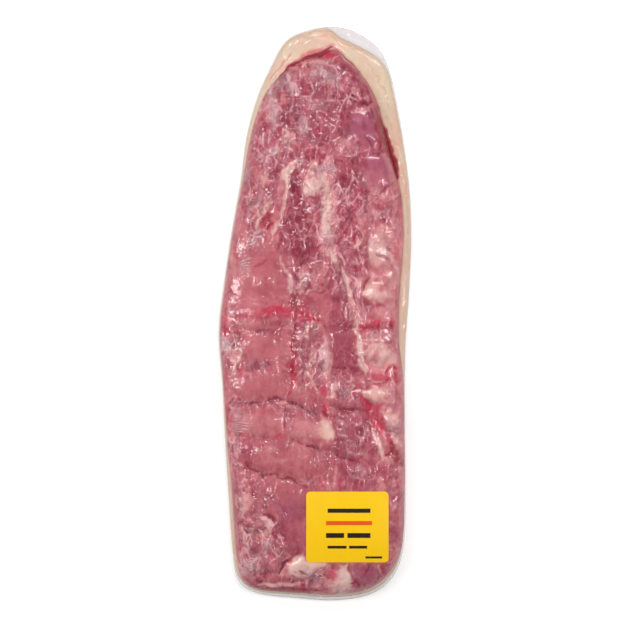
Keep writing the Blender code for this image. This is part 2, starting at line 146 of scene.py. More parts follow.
# --- Tissue, painted in this order ---------------------------------------------------------------
# Soft fields: tissue, cover, x, y, half width, half length, turn in degrees, rise.
FIELDS = [
    # the large regions of the rack
    ("lean", 0.6, 8, 172, 46, 46, 0, 0), ("mauve", 0.16, -8, 178, 30, 36, 0, 0),
    ("rosy", 0.35, -50, 130, 16, 50, 10, 0), ("rosy", 0.3, -56, 66, 14, 60, 4, 0),
    ("lean", 0.75, 28, -105, 16, 38, 0, 0), ("lean", 0.75, 24, 0, 13, 76, 0, 0),
    ("lean", 0.6, 28, 88, 16, 20, 0, 0), ("lean", 0.6, -14, 75, 16, 34, 0, 0),
    ("rosy", 0.45, 60, 20, 16, 110, 0, 0), ("pink", 0.22, 62, 40, 12, 60, 0, 0),
    ("lean", 0.35, -14, 40, 18, 60, 0, 0), ("rosy", 0.25, -52, -80, 22, 60, 0, 0),
    ("lean", 0.4, -20, -168, 26, 34, 0, 0), ("rosy", 0.3, -50, -200, 20, 34, 0, 0),
    ("plum", 0.85, 41, 157, 16, 16, 0, 0), ("plum", 0.75, 52, 120, 14, 15, 0, 0),
    ("lean", 0.5, 30, 120, 12, 14, 0, 0), ("coral", 0.3, -68, -118, 7, 20, 0, 0),
    ("coral", 0.3, 70, -25, 5, 50, 0, 0),
    # narrow end
    ("coral", 0.35, 5, 225, 12, 3, 6, 0), ("grey", 0.65, 3, 213.5, 9, 4.5, 4, 0.2),
    ("lean", 0.8, 30, 205, 13, 10, 30, 0), ("slack", 0.35, 14, 201, 8, 6, 0, 0),
    ("slack", 0.55, -18, 191, 6, 5, 10, 0.3), ("crevice_shade", 0.8, 33, 183, 4.5, 4.5, 0, -1.2),
    ("deep", 0.5, 42, 188, 5, 8, 30, 0), ("mauve", 0.4, -18, 204, 4, 2.5, 0, 0),
    ("smear", 0.75, 12, 220.5, 4, 2.6, 0, 0), ("rosy", 0.6, -30, 185, 9, 12, -20, 0),
    ("pink", 0.35, 8, 196, 8, 7, 0, 0), ("lean", 0.6, 10, 183, 12, 8, 0, 0),
    ("deep", 0.4, 22, 178, 10, 8, 0, 0), ("mauve", 0.35, -2, 190, 6, 5, 0, -0.4),
    ("grey", 0.45, -37, 211, 3, 8, 10, 0),
    # upper left
    ("slack", 0.4, -36, 174, 4, 19, 4, 0), ("mauve", 0.75, -22, 164, 8, 9, 0, -0.6),
    ("deep", 0.7, -17, 168, 4, 4, 0, -0.5), ("slack", 0.4, -10, 159, 5, 11, 6, 0.2),
    ("lean", 0.7, -42, 148, 8, 6, 0, 0), ("slack", 0.5, -35, 138, 7, 4, 10, 0),
    ("mauve", 0.5, -30, 131, 6, 5, 0, -0.3), ("mauve", 0.5, -20, 133, 5, 4, 0, -0.3),
    ("deep", 0.5, -35, 124, 7, 5, 0, 0), ("smear", 0.5, 0, 137, 4, 3, 0, 0),
    ("smear", 0.55, 3, 133, 3.5, 3, 0, 0), ("deep", 0.7, 4, 144, 4, 3, 0, -0.4),
    ("pink", 0.4, -2, 134, 5, 5, 0, 0), ("deep", 0.45, 0, 151, 8, 6, 0, 0),
    ("lean", 0.5, 14, 168, 7, 6, 0, 0), ("rosy", 0.5, -6, 180, 6, 4, 0, 0),
    ("slack", 0.4, -5, 182, 2, 2, 0, 0),
    # upper right
    ("rosy", 0.6, 43, 176, 4, 4, 0, 0.5), ("deep", 0.6, 55, 138, 5.5, 4, 0, -0.8),
    ("mauve", 0.35, 48, 170, 5, 4, 0, 0), ("deep", 0.55, 42, 159, 3, 3, 0, 0),
    ("pink", 0.65, 25.5, 144.5, 5.5, 4, 0, 0.3), ("mauve", 0.6, 25, 154, 4, 5, 0, -0.3),
    ("deep", 0.6, 35, 132, 5, 4, 0, -0.4), ("pink", 0.65, 10.5, 130.5, 5, 4.5, 0, 0.2),
    ("grey", 0.6, 11, 122, 9, 3.5, 0, 0.2), ("deep", 0.6, 15, 123, 1.6, 1.4, 0, 0),
    ("lean", 0.5, 8, 186, 6, 4, 0, 0), ("lean", 0.5, 10, 177, 7, 4, 0, 0),
    ("rosy", 0.35, 50, 114, 10, 7, 0, 0), ("coral", 0.5, 52, 183, 3, 6, -25, 0),
    # left, above the middle
    ("grey", 0.5, -45, 115, 5, 7, -8, 0.2), ("grey", 0.4, -48, 87, 4, 3.5, 0, 0),
    ("mauve", 0.4, -57, 117, 4, 2.4, 0, 0), ("deep", 0.7, -40, 107, 2.6, 2.6, 0, -0.4),
    ("deep", 0.55, -35, 119, 5, 4, 0, 0), ("deep", 0.55, -28, 126, 4, 4, 0, 0),
    ("blood", 0.85, -16, 109, 5.2, 12.5, 4, -0.8), ("crevice_shade", 0.7, -20.5, 110, 2.2, 8, 0, -0.5),
    ("crevice_shade", 0.5, -14, 121, 2.6, 2.6, 0, 0), ("blood", 0.85, -9, 87, 7.5, 10, 6, -0.5),
    ("deep", 0.6, -10, 72, 9, 12, 0, -0.2), ("crevice_shade", 0.5, -10, 85, 3, 5, 0, -0.4),
    ("mauve", 0.55, 2.5, 92, 3.6, 4.6, 0, -0.2), ("deep", 0.65, -18, 85, 6, 18, 0, 0),
    ("blood", 0.65, -42, 78, 4.6, 8.4, -4, -0.2), ("rosy", 0.5, -60, 80, 8, 8, 0, 0),
    ("cream", 0.95, -1.5, 108, 8.5, 11, 0, 0.8), ("cream", 0.85, -3, 122, 5.5, 8, 0, 0.6),
    ("grey", 0.55, -3, 102, 3, 3, 0, 0), ("mauve", 0.55, 0, 98, 2.4, 1.4, 0, -0.2),
    # right, above the middle
    ("blood", 0.85, 72.5, 97, 3, 5.5, 0, -0.6), ("crevice_shade", 0.8, 71, 101, 1.8, 1.6, 0, -0.4),
    ("coral", 0.6, 71, 108, 3, 3, 0, 0), ("rosy", 0.5, 62, 100, 6, 3, 0, 0.2),
    ("pink", 0.5, 48, 95, 3, 2, 0, 0), ("pink", 0.5, 48, 85, 4, 3, 0, 0.2),
    ("pink", 0.6, 68.5, 78.5, 5.5, 5.5, 0, 0.4), ("mauve", 0.75, 24, 112, 6.5, 4.5, 10, -0.8),
    ("pink", 0.55, 27, 99.5, 3.6, 2.6, 0, 0), ("lean", 0.6, 25, 95, 5, 4, 0, 0),
    ("lean", 0.6, 30, 85, 7, 6, 0, 0), ("pink", 0.55, 16, 97, 4.6, 15, 0, 0.3),
    # left of the middle
    ("rosy", 0.5, -60, 65, 8, 10, 0, 0), ("pink", 0.55, -69.5, 37, 2.8, 15, 5, 0.2),
    ("pink", 0.4, -75, 10, 2, 30, 4, 0), ("deep", 0.65, -13, 62, 16, 16, 0, 0),
    ("grey", 0.85, -10.5, 27, 5.6, 9.5, -5, 0.6), ("blood", 0.8, -17, 7, 4.2, 9, 8, -0.4),
    ("smear", 0.8, -24, 2, 16, 3.4, 2, 0), ("smear", 0.35, -34, 1, 26, 6, 2, 0),
    ("smear", 0.85, -6, -2.5, 10, 4, -6, 0), ("rosy", 0.35, -50, 8, 12, 6, 0, 0),
    # right of the middle
    ("lean", 0.6, 30, 45, 9, 26, 0, 0), ("smear", 0.3, 30, 25, 4, 4, 0, 0),
    ("bone", 0.85, 53, 54, 9, 16, -8, 0.6), ("cream", 0.5, 52, 54, 4, 7, -8, 0.2),
    ("mauve", 0.5, 63, 55, 3, 3, 0, -0.4), ("grey", 0.4, 62, 63, 4, 4, 0, 0),
    ("coral", 0.6, 69.5, 54, 4, 15, 0, 0), ("rosy", 0.5, 55, 34, 9, 4.5, 0, 0),
    ("bone", 0.95, 47, 20, 8.5, 9.5, 0, 0.5), ("cream", 0.4, 47, 20, 5, 6, 0, 0),
    ("cream", 0.55, 58, 15, 8, 5.5, 0, 0.3), ("pink", 0.4, 57, 28, 4, 4, 0, 0),
    ("lean", 0.6, 39.5, 9, 5.5, 5, 0, 0), ("smear", 0.6, 68, 18, 3, 3, 0, 0),
    ("mauve", 0.5, 18, 12, 3, 3, 0, -0.2), ("mauve", 0.5, 23, 33, 4, 3, 0, -0.2),
    ("membrane", 0.4, 8, 13, 6, 6, 0, 0.2), ("lean", 0.4, 6, 52, 4, 6, 0, 0),
    ("pink", 0.35, 4, 32, 4, 5, 0, 0),
    # left, below the middle
    ("coral", 0.7, -76.5, -4.5, 3.6, 4.8, 0, 0), ("smear", 0.75, -77, -14.5, 4, 4.6, 0, 0),
    ("slack", 0.6, -75, -25, 5, 5, 0, 0.2), ("deep", 0.6, -75, -26, 1.4, 1.4, 0, 0),
    ("pink", 0.7, -70, -36, 5.5, 7.5, 20, 0.3), ("smear", 0.6, -64, -49, 2.4, 2.4, 0, 0),
    ("smear", 0.7, -76.5, -59, 3.4, 7, 0, 0), ("blood", 0.6, -79, -60, 1.6, 2.4, 0, 0),
    ("deep", 0.45, -30, -8, 9, 2, 0, 0), ("mauve", 0.6, -46, -14.5, 9, 2.6, 0, -0.3),
    ("mauve", 0.6, -52, -45, 9, 4.6, 6, -0.4), ("grey", 0.75, -5, -34, 9.5, 25, 2, 0.4),
    ("cream", 0.6, -4, -10, 5.5, 5, 0, 0.2), ("membrane", 0.6, 3, -34, 3, 3, 0, 0),
    ("pink", 0.65, -2.5, -49, 8, 3.6, 0, 0.2), ("grey", 0.5, -10, -65, 6, 4, 0, 0),
    ("smear", 0.4, -3, -65, 4, 3, 0, 0), ("mauve", 0.3, -8, -38, 2.4, 2.4, 0, 0),
    # right, below the middle
    ("mauve", 0.75, 28, -13.5, 6.6, 2.4, 0, -0.5), ("deep", 0.65, 34.5, -50, 4.8, 4.6, 0, -0.4),
    ("lean", 0.5, 35.5, -42, 3.6, 4.4, 0, 0), ("lean", 0.6, 23, -31, 10, 13, 0, 0),
    ("pink", 0.65, 11, -38, 3.6, 17, 4, 0.3), ("pink", 0.5, 2, -10, 2.4, 3, 0, 0),
    ("smear", 0.9, 55, -10, 15, 5.4, 3, 0), ("bone", 0.9, 52, -33, 10, 11, 0, 0.4),
    ("membrane", 0.6, 51, -35, 4, 4.6, 0, -0.3), ("bone", 0.85, 63, -37, 6, 9, 0, 0.3),
    ("bone", 0.55, 48, -19, 4.6, 3.4, 0, 0), ("pink", 0.5, 55, -22, 4, 3, 0, 0),
    ("coral", 0.5, 57, -51, 13, 8.4, 0, 0), ("blood", 0.5, 67, -45, 3, 2, 0, 0),
    ("blood", 0.5, 66, -52, 3, 2, 0, 0), ("bone", 0.95, 51, -68.5, 10, 7, 0, 0.4),
    ("cream", 0.5, 50, -69, 6, 4, 0, 0), ("smear", 0.6, 8, -65, 5.4, 4, 0, 0),
    ("lean", 0.4, 25, -62, 9, 6, 0, 0),
    # left, around the third rib
    ("smear", 0.9, -75, -84, 4.6, 7, 0, 0), ("blood", 0.5, -76, -86, 2.4, 4, 0, 0),
    ("rosy", 0.45, -50, -90, 16, 9, 0, 0.2), ("rosy", 0.45, -15, -93, 7, 6, 0, 0.2),
    ("smear", 0.6, -30, -105, 5.4, 4, 0, 0), ("deep", 0.35, -50, -106, 10, 2.4, 0, 0),
    ("smear", 0.35, -68, -116, 6, 17, 0, 0), ("deep", 0.4, -58, -115, 4, 4, 0, 0),
    ("pink", 0.4, -36, -115, 4, 2.6, 0, 0), ("pink", 0.4, -28, -125, 5, 3, 0, 0),
    ("deep", 0.5, -58, -129, 5, 4, 40, 0),
    # right, around the third rib
    ("smear", 0.7, 10, -79, 3.4, 6, 0, -0.2), ("bone", 1.0, 9, -100, 7.4, 11, 0, 0.5),
    ("cream", 0.7, 11, -101, 4.4, 9, 0, 0), ("lean", 0.6, 34, -106, 15, 20, 0, 0),
    ("deep", 0.5, 36, -107, 6, 10, 0, 0), ("deep", 0.45, 50, -116, 4.4, 6, 0, 0),
    ("pink", 0.55, 65, -124.5, 3.6, 2.8, 0, 0), ("bone", 0.95, 63.5, -89, 7.6, 8, 0, 0.5),
    ("cream", 0.4, 62, -88, 4, 4, 0, 0), ("bone", 0.85, 67, -108, 7, 7, 0, 0.4),
    ("rosy", 0.4, 32, -77, 9, 3, 0, 0),
    # lower left
    ("rosy", 0.6, -63.5, -143.5, 6, 7, 0, 0), ("membrane", 0.6, -20, -155, 14, 12, 0, 0.4),
    ("mauve", 0.4, -12, -171, 8, 8, 0, 0), ("bone", 0.75, -59.5, -160, 7.4, 10, 0, 0.4),
    ("mauve", 0.6, -63, -163, 2.4, 3.4, 0, -0.2), ("mauve", 0.6, -43, -163, 3.6, 4.4, -30, -0.2),
    ("deep", 0.5, -38, -176, 8, 4, -25, -0.2), ("pink", 0.4, -43, -180, 5, 3, 0, 0.2),
    ("deep", 0.5, -30, -182, 3.4, 3, 0, 0), ("deep", 0.6, -53, -192, 2.8, 3.2, 0, -0.2),
    ("rosy", 0.4, -55, -178, 5, 4, 0, 0.2), ("lean", 0.35, -22, -188, 10, 7, 0, 0),
    ("plum", 0.4, -22, -166, 9, 12, 20, 0), ("rosy", 0.3, -45, -148, 9, 7, 0, 0.2),
    # wide end
    ("smear", 0.65, -43, -206, 7.4, 6, 0, 0), ("coral", 0.45, -34.5, -215, 6, 4, 0, 0.3),
    ("grey", 0.5, -57.5, -215, 5.4, 7.4, 0, 0.2), ("grey", 0.6, -50, -218, 4.4, 3.4, 0, 0),
    ("rosy", 0.5, -27, -203, 4, 4, 0, 0.2), ("pink", 0.85, -6, -214, 17, 8, 0, 0.2),
    ("cream", 0.6, -14, -212, 8, 5, 20, 0), ("cream", 0.4, 4, -213, 6, 4, 0, 0),
    ("pink", 0.8, -20, -223, 16, 3.4, 0, 0), ("lean", 0.55, -24, -226.5, 18, 2.8, 0, 0),
    ("deep", 0.6, -22, -236.5, 28, 3, 0, 0), ("blood", 0.5, -45, -238, 4, 2, 0, 0),
    ("blood", 0.5, -15, -236, 4, 1.6, 0, 0), ("blood", 0.5, 2, -236, 4, 1.6, -20, 0),
    ("pink", 0.9, 26, -226, 7.4, 13, 0, 0.3), ("cream", 0.5, 24, -222, 5, 8, 0, 0),
    ("plum", 0.9, 42, -222, 11.4, 13, 8, 0), ("mauve", 0.4, 45, -214, 5, 4, 0, 0),
    ("deep", 0.5, 40, -231, 4, 3, 0, 0), ("smear", 0.7, 13, -219.5, 4, 3.4, 0, 0),
    ("pink", 0.85, 4, -229, 9, 4, 0, 0.2), ("pink", 0.85, 15, -232, 7, 5, 0, 0.2),
    ("deep", 0.4, -50, -230, 5, 4, 0, 0),
    # around the label
    ("pink", 0.55, 56.5, -145, 4, 5.4, 0, 0), ("coral", 0.4, 68, -145, 4, 5, 0, 0),
    ("smear", 0.6, 68, -157, 5.4, 4.4, 0, 0), ("pink", 0.6, 66, -164, 3, 3, 0, 0.2),
    ("rosy", 0.4, 70, -176, 4, 6, 0, 0), ("mauve", 0.35, 66.5, -188, 4, 8, 0, 0),
    ("pink", 0.55, 66.5, -198, 4, 3, 0, 0), ("lean", 0.7, 38, -139, 14, 11, 0, 0),
    ("rosy", 0.4, 10, -145, 8, 4, 0, 0),
    # Painted highlights where the film is drawn and crumpled, whitens and catches the light
    ("frost_highlight", 0.60, -22, 200, 9, 4.5, -35, 0), ("frost_highlight", 0.55, -35, 184, 3.4, 10, 14, 0),
    ("frost_highlight", 0.55, 12, 204, 7, 4.5, -20, 0), ("frost_highlight", 0.45, -37, 162, 2.8, 8, 6, 0),
    ("frost_highlight", 0.45, -12, 159, 3.6, 9, 10, 0), ("frost_highlight", 0.50, -41, 136, 9, 3, 12, 0),
    ("frost_highlight", 0.45, 9, 124, 7, 3, 16, 0), ("frost_highlight", 0.60, -78, -27, 4, 7, 10, 0),
    ("frost_highlight", 0.45, 7, 68, 3, 22, -6, 0), ("frost_highlight", 0.40, -20, 150, 2.6, 7, 20, 0),
    ("frost_highlight", 0.35, 2, 206, 5, 4, 0, 0), ("frost_highlight", 0.35, -6, 176, 8, 2.4, -20, 0),
    ("frost_highlight", 0.40, -63, -174, 5, 5, 0, 0), ("frost_highlight", 0.40, -46, -184, 7, 2.4, 10, 0),
    ("frost_highlight", 0.40, -62, -216, 3, 7, -20, 0), ("pink", 0.50, -7, -98, 14, 9, -10, 0),
    ("frost_highlight", 0.40, -30, -232, 16, 1.6, 2, 0), ("frost_highlight", 0.40, 8, -38, 3, 16, 4, 0),
    ("cream", 0.60, -12, -214, 12, 6, 10, 0.2), ("cream", 0.60, 25, -224, 5, 12, -6, 0.2),
    ("deep", 0.85, -17, 113, 4.6, 10, 4, -0.4), ("crevice_shade", 0.5, -17, 108, 2.4, 6, 4, -0.4),
    ("deep", 0.60, 34, 184, 9, 5, -25, 0), ("crevice_shade", 0.6, 32, 184, 3, 2, 0, -0.3),
    ("smear", 0.55, -4, 134, 9, 4, 10, 0), ("blood", 0.60, 2, 131, 3, 6, 30, 0),
    # Pale fat of the wide end and of the backbone side
    ("cream", 0.80, -9, -216, 20, 8, 6, 0.2), ("cream", 0.75, 24, -226, 7, 14, -6, 0.2),
    ("pink", 0.60, 8, -224, 10, 6, 0, 0), ("smear", 0.50, 12, -222, 6, 3, 0, 0),
    ("crevice_shade", 0.6, -2, -223, 2, 1.2, 0, -0.3), ("pink", 0.50, 56, -40, 13, 16, 0, 0),
    ("bone", 0.60, 53, -69, 11, 6, 0, 0), ("pink", 0.45, 62, -96, 10, 14, 20, 0),
    ("pink", 0.45, 58, 4, 12, 8, 0, 0), ("pink", 0.40, 65, 36, 7, 20, 0, 0),
    ("pink", 0.45, 50, 84, 11, 5, -20, 0), ("pink", 0.45, 66, -150, 5, 14, 0, 0),
    ("smear", 0.60, 55, -10, 15, 4, 3, 0), ("smear", 0.50, 58, -54, 13, 4, -10, 0),
    ("smear", 0.60, 52, -84, 4, 14, 34, 0), ("smear", 0.50, 74, 84, 2.4, 20, 4, 0),
    ("coral", 0.40, 74, 40, 2.4, 26, 2, 0),
    # Crimson places along the left edge
    ("smear", 0.70, -75, -88, 5, 11, 10, 0), ("blood", 0.60, -77, -92, 2.6, 8, 0, 0),
    ("smear", 0.45, -72, -118, 4, 20, 5, 0), ("smear", 0.60, -79, -4, 3, 6, 0, 0),
    ("deep", 0.45, -34, 116, 5, 16, -6, 0), ("deep", 0.45, 24, 168, 9, 9, 0, 0),
    ("deep", 0.40, -30, 158, 5, 10, 0, 0), ("deep", 0.45, 34, 116, 8, 14, 0, 0),
    ("deep", 0.45, 4, 150, 8, 9, 0, 0),
]

# Lines of tissue: tissue, cover, width, rise, route.
LINES = [
    # narrow end
    ("blood", 1.0, 3.0, -0.6, [(-28, 207), (-22, 210), (-18, 213), (-12, 216), (-8, 219), (0, 220),
        (5, 222), (10, 224), (16, 226)]),
    ("pink", 0.7, 2.0, 0.3, [(-22, 208), (-12, 212), (5, 217)]),
    ("smear", 0.75, 2.8, -0.3, [(-14, 211), (-8, 210), (-4, 207)]),
    ("pink", 0.7, 1.2, 0.4, [(20, 221), (15, 216), (15, 205)]),
    ("pink", 0.8, 1.4, 0.3, [(22, 221), (30, 214), (36, 209), (45, 196), (50, 190)]),
    ("pink", 0.65, 1.8, 0.4, [(-10, 205), (-7, 195), (-6, 190)]),
    ("smear", 0.6, 2.0, 0, [(-38, 195), (-33, 199), (-29, 201)]),
    ("blood", 0.75, 1.6, -0.5, [(22, 182), (27, 187)]),
    ("pink", 0.75, 2.2, 0.4, [(32, 190), (37, 186), (39, 182)]),
    # upper left
    ("blood", 0.75, 2.0, -0.5, [(-22, 160), (-18, 154), (-14, 150), (-11, 150)]),
    ("cream", 0.85, 3.8, 0.5, [(-27, 157), (-24, 150), (-23, 143), (-20, 139)]),
    ("pink", 0.75, 2.0, 0.3, [(-20, 155), (-17, 147), (-14, 143)]),
    ("blood", 0.8, 3.2, -0.6, [(8, 138), (5, 130), (3, 124)]),
    ("pink", 0.6, 1.3, 0.3, [(1, 173), (10, 168)]),
    ("pink", 0.6, 1.3, 0.3, [(2, 170), (6, 162), (10, 158)]),
    ("pink", 0.6, 1.2, 0.3, [(-6, 178), (0, 180), (8, 178)]),
    ("pink", 0.5, 1.0, 0.2, [(-14, 176), (-10, 184), (-4, 187), (4, 186)]),
    ("blood", 0.45, 1.4, -0.3, [(-46, 168), (-43, 158), (-44, 148)]),
    # upper right
    ("tan", 0.8, 3.0, 0.3, [(48, 190), (52, 183), (54, 177)]),
    ("crevice_shade", 0.9, 1.7, -0.9, [(38, 179), (42, 178.4), (45, 178)]),
    ("blood", 1.0, 3.0, -0.7, [(50, 174), (54, 168), (57, 162), (58, 155), (57, 148)]),
    ("blood", 1.0, 5.4, -0.8, [(57, 151), (58, 145), (60, 142), (64, 136), (67, 130), (69, 124)]),
    ("crevice_shade", 0.7, 2.0, -0.4, [(58, 147), (60, 142), (64, 136), (67, 129)]),
    ("blood", 0.7, 2.4, -0.6, [(69, 124), (71, 118), (72, 111)]),
    ("deep", 0.7, 1.4, -0.6, [(42, 150), (47, 144), (50, 139)]),
    ("deep", 0.5, 1.4, -0.5, [(28, 160), (33, 151), (38, 145)]),
    ("crevice_shade", 0.75, 1.6, -0.6, [(18, 131), (24, 128), (25, 125)]),
    ("mauve", 0.75, 1.4, -0.4, [(6, 126), (14, 125)]), ("pink", 0.35, 1.2, 0.2, [(62, 149), (75, 141)]),
    ("pink", 0.35, 1.2, 0.2, [(60, 165), (62, 168)]),
    ("rosy", 0.5, 1.6, 0.2, [(28, 172), (36, 170), (44, 166)]),
    ("mauve", 0.5, 1.6, -0.4, [(26, 142), (28, 134), (34, 127)]),
    # left, above the middle
    ("blood", 0.85, 4.6, -0.7, [(-52, 105), (-50, 98), (-55, 92)]),
    ("cream", 0.8, 2.6, 0.4, [(-37, 97), (-41, 90), (-47, 80), (-50, 72)]),
    ("pink", 0.55, 3.0, 0.3, [(-29, 114), (-30, 108), (-31, 102)]),
    ("cream", 0.95, 5.6, 0.8, [(-8, 128), (-13, 128.5), (-20, 124), (-25, 118), (-24.5, 110)]),
    ("cream", 0.85, 2.8, 0.5, [(-24.5, 111), (-25, 102), (-27, 92), (-28, 82), (-31, 75)]),
    ("pink", 0.75, 1.4, 0.3, [(-23, 94), (-24, 86), (-24, 80)]),
    ("pink", 0.8, 2.0, 0.4, [(-6, 101), (-3, 93), (-2, 88)]),
    ("cream", 0.75, 3.2, 0.4, [(-31, 79), (-34, 73), (-37, 69)]),
    ("crevice_shade", 0.6, 1.4, -0.4, [(-5, 97), (-3, 98.5), (2, 98)]),
    # right, above the middle
    ("crevice_shade", 0.95, 1.6, -0.8, [(69, 101.5), (72, 101.5), (75, 101), (75.5, 97), (75, 93)]),
    ("blood", 0.7, 1.2, -0.3, [(75, 93), (76.5, 86), (77, 80), (76, 70)]),
    ("mauve", 0.75, 2.8, -0.6, [(48, 94), (53, 91), (58, 88)]),
    ("mauve", 0.5, 1.6, -0.4, [(68, 112), (61, 107), (55, 100)]),
    ("pink", 0.7, 1.8, 0.3, [(62, 96), (67, 99), (72, 103)]),
    ("mauve", 0.7, 1.6, -0.4, [(50, 80), (58, 80), (65, 75)]),
    ("pink", 0.75, 2.4, 0.4, [(55, 78), (60, 72), (62, 70)]),
    ("crevice_shade", 0.85, 1.8, -0.7, [(17, 111), (22, 108), (27, 107), (32, 103)]),
    ("crevice_shade", 0.8, 1.5, -0.6, [(24, 105), (28, 103)]),
    ("mauve", 0.85, 1.5, -0.5, [(34, 100), (36, 97), (38, 94), (40, 91)]),
    ("mauve", 0.65, 1.4, -0.4, [(41, 89), (45, 85)]),
    ("deep", 0.5, 1.8, -0.4, [(21, 84), (26, 76), (33, 73), (38, 66)]),
    # the long strand of fat down the middle
    ("pink", 0.7, 12.5, 0.3, [(9, 126), (10, 110), (12, 92), (13, 78), (14, 66), (15, 54), (18, 46)]),
    ("cream", 0.95, 7.4, 0.8, [(1, 128), (5, 118), (8, 108), (9.5, 96), (9.5, 84), (10, 74), (12.5, 63),
        (13, 54), (16.5, 46)]),
    ("cream", 0.9, 4.6, 0.7, [(16, 48), (20, 41), (25, 32), (28.5, 23), (30.5, 15)]),
    ("bone", 0.9, 7.4, 0.7, [(31, 12), (33, 4), (34, -6)]), ("cream", 0.8, 2.0, 0.3, [(29, 3), (29, -6)]),
    ("cream", 0.9, 4.0, 0.7, [(34, -7), (35.5, -14), (36.5, -20)]),
    ("cream", 0.95, 5.2, 0.8, [(36.5, -18), (37, -27), (37.5, -35)]),
    ("grey", 0.7, 1.8, -0.2, [(37, -24), (37.4, -30)]),
    ("cream", 0.9, 4.4, 0.7, [(38.5, -33), (41, -41), (42, -51)]),
    ("grey", 0.45, 3.0, 0, [(7, 62), (7, 55), (9, 50)]),
    ("mauve", 0.35, 2.0, -0.3, [(2, 104), (3.5, 92), (4, 80), (4, 68)]),
    # left of the middle
    ("cream", 0.7, 2.2, 0.3, [(-30, 50), (-28, 43), (-25, 38), (-22, 32)]),
    ("cream", 0.85, 3.2, 0.5, [(-22, 33), (-21, 25), (-20, 18)]),
    ("cream", 0.75, 2.2, 0.4, [(-18, 17), (-12, 18), (-8, 20)]),
    ("crevice_shade", 0.85, 1.6, -0.7, [(-10, 48), (-11, 44), (-14, 40), (-17, 33), (-16, 31)]),
    ("crevice_shade", 0.8, 1.5, -0.6, [(-19, 29), (-18, 26), (-16, 23)]),
    ("pink", 0.5, 1.0, 0.2, [(-37, 18), (-35, 15), (-34, 12)]),
    ("pink", 0.5, 1.0, 0.2, [(-57, 16), (-54, 14), (-51, 10)]),
    ("blood", 0.8, 4.2, -0.5, [(-16, 16), (-15, 10), (-16, 5), (-18, -2)]),
    ("deep", 0.6, 2.2, -0.4, [(-8, 73), (-8, 58)]), ("deep", 0.5, 2.4, -0.4, [(-20, 66), (-20, 54)]),
    ("pink", 0.45, 1.3, 0.3, [(-4, 30), (-2, 25), (0, 20)]),
    ("deep", 0.4, 2.0, -0.4, [(-40, 47), (-46, 42), (-52, 40)]),
    ("smear", 0.5, 1.4, -0.2, [(-72, 22), (-76, 12), (-77, 4)]),
    # right of the middle
    ("cream", 0.75, 2.8, 0.5, [(37, 68), (36, 62), (35, 55)]),
    ("cream", 0.85, 2.4, 0.5, [(57, 57), (61, 53), (65, 47), (69, 39), (70, 32)]),
    ("mauve", 0.6, 2.0, -0.5, [(52, 50), (57, 48), (63, 45)]),
    ("crevice_shade", 0.65, 1.5, -0.5, [(46, 30), (42, 26), (40, 18)]),
    ("blood", 0.6, 2.0, -0.4, [(70, 12), (71, 5)]), ("mauve", 0.6, 1.3, -0.4, [(1, 18), (7, 20), (12, 24)]),
    ("mauve", 0.5, 1.6, -0.4, [(43, 66), (44, 54), (43, 44), (45, 36)]),
    ("cream", 0.6, 2.0, 0.3, [(48, 68), (47, 58), (47, 48), (49, 40)]),
    ("tan", 0.4, 1.6, 0, [(74, 70), (75, 50), (73, 30)]),
    ("smear", 0.4, 2.2, 0, [(44, 12), (50, 8), (60, 6)]),
    # left, below the middle
    ("blood", 0.7, 1.3, -0.3, [(-80, -11), (-75, -14), (-73, -18)]),
    ("pink", 0.8, 1.3, 0.3, [(-74, -13), (-72, -10), (-69, -8)]),
    ("cream", 0.9, 2.2, 0.4, [(-63, -31), (-64.5, -38), (-68, -46), (-70, -52)]),
    ("cream", 0.7, 1.6, 0.3, [(-77, -30), (-70, -30), (-63, -31)]),
    ("smear", 0.7, 1.2, -0.2, [(-77, -40), (-74, -45), (-72, -50)]),
    ("pink", 0.75, 1.2, 0.3, [(-47, -14), (-45, -16), (-45, -18)]),
    ("mauve", 0.75, 1.5, -0.5, [(-44, -40), (-40, -42.5), (-36, -43)]),
    ("mauve", 0.7, 1.4, -0.5, [(-29, -45), (-27, -48), (-20, -49)]),
    ("blood", 0.9, 4.4, -0.5, [(-18, -8), (-16, -14), (-16, -20), (-18, -27), (-19, -31)]),
    ("blood", 0.85, 4.0, -0.5, [(-19, -41), (-18, -48), (-20, -59)]),
    ("smear", 0.5, 2.0, -0.3, [(-20, -59), (-21, -66), (-24, -73)]),
    ("cream", 0.8, 2.0, 0.4, [(-16, -31), (-12, -33), (-8, -36)]),
    ("crevice_shade", 0.7, 1.4, -0.4, [(-16, -33), (-12, -37)]),
    ("cream", 0.8, 1.6, 0.3, [(-15, -42), (-11, -45), (-8, -46)]),
    ("cream", 0.75, 1.2, 0.3, [(0, -24), (5, -29)]),
    ("cream", 0.75, 1.4, 0.3, [(-8, -22), (-5, -30), (0, -38), (1, -44)]),
    ("crevice_shade", 0.7, 1.2, -0.3, [(-11, -27), (-9, -29)]),
    ("smear", 0.6, 3.2, -0.3, [(-15, -4), (-8, -5), (0, -3)]),
    ("mauve", 0.5, 2.0, -0.3, [(-60, -41), (-52, -43), (-43, -45)]),
    # right, below the middle
    ("mauve", 0.75, 1.5, -0.4, [(7, -10), (9, -12), (12, -14)]),
    ("mauve", 0.75, 2.0, -0.6, [(15, -46), (22, -47), (30, -47)]),
    ("tan", 0.5, 1.6, 0, [(14.5, -24), (14.5, -40), (14, -53)]),
    ("cream", 0.8, 3.2, 0.5, [(48, -24), (54, -27), (58.5, -32), (58.5, -38), (55, -42), (50, -43.5)]),
    ("cream", 0.6, 2.2, 0.3, [(46.5, -27), (45, -33), (46, -40)]),
    ("mauve", 0.5, 1.4, -0.3, [(70, 0), (71, -20), (73, -35), (75, -55)]),
    ("cream", 0.85, 3.6, 0.6, [(16, -54), (18, -60), (15.5, -66), (14, -72)]),
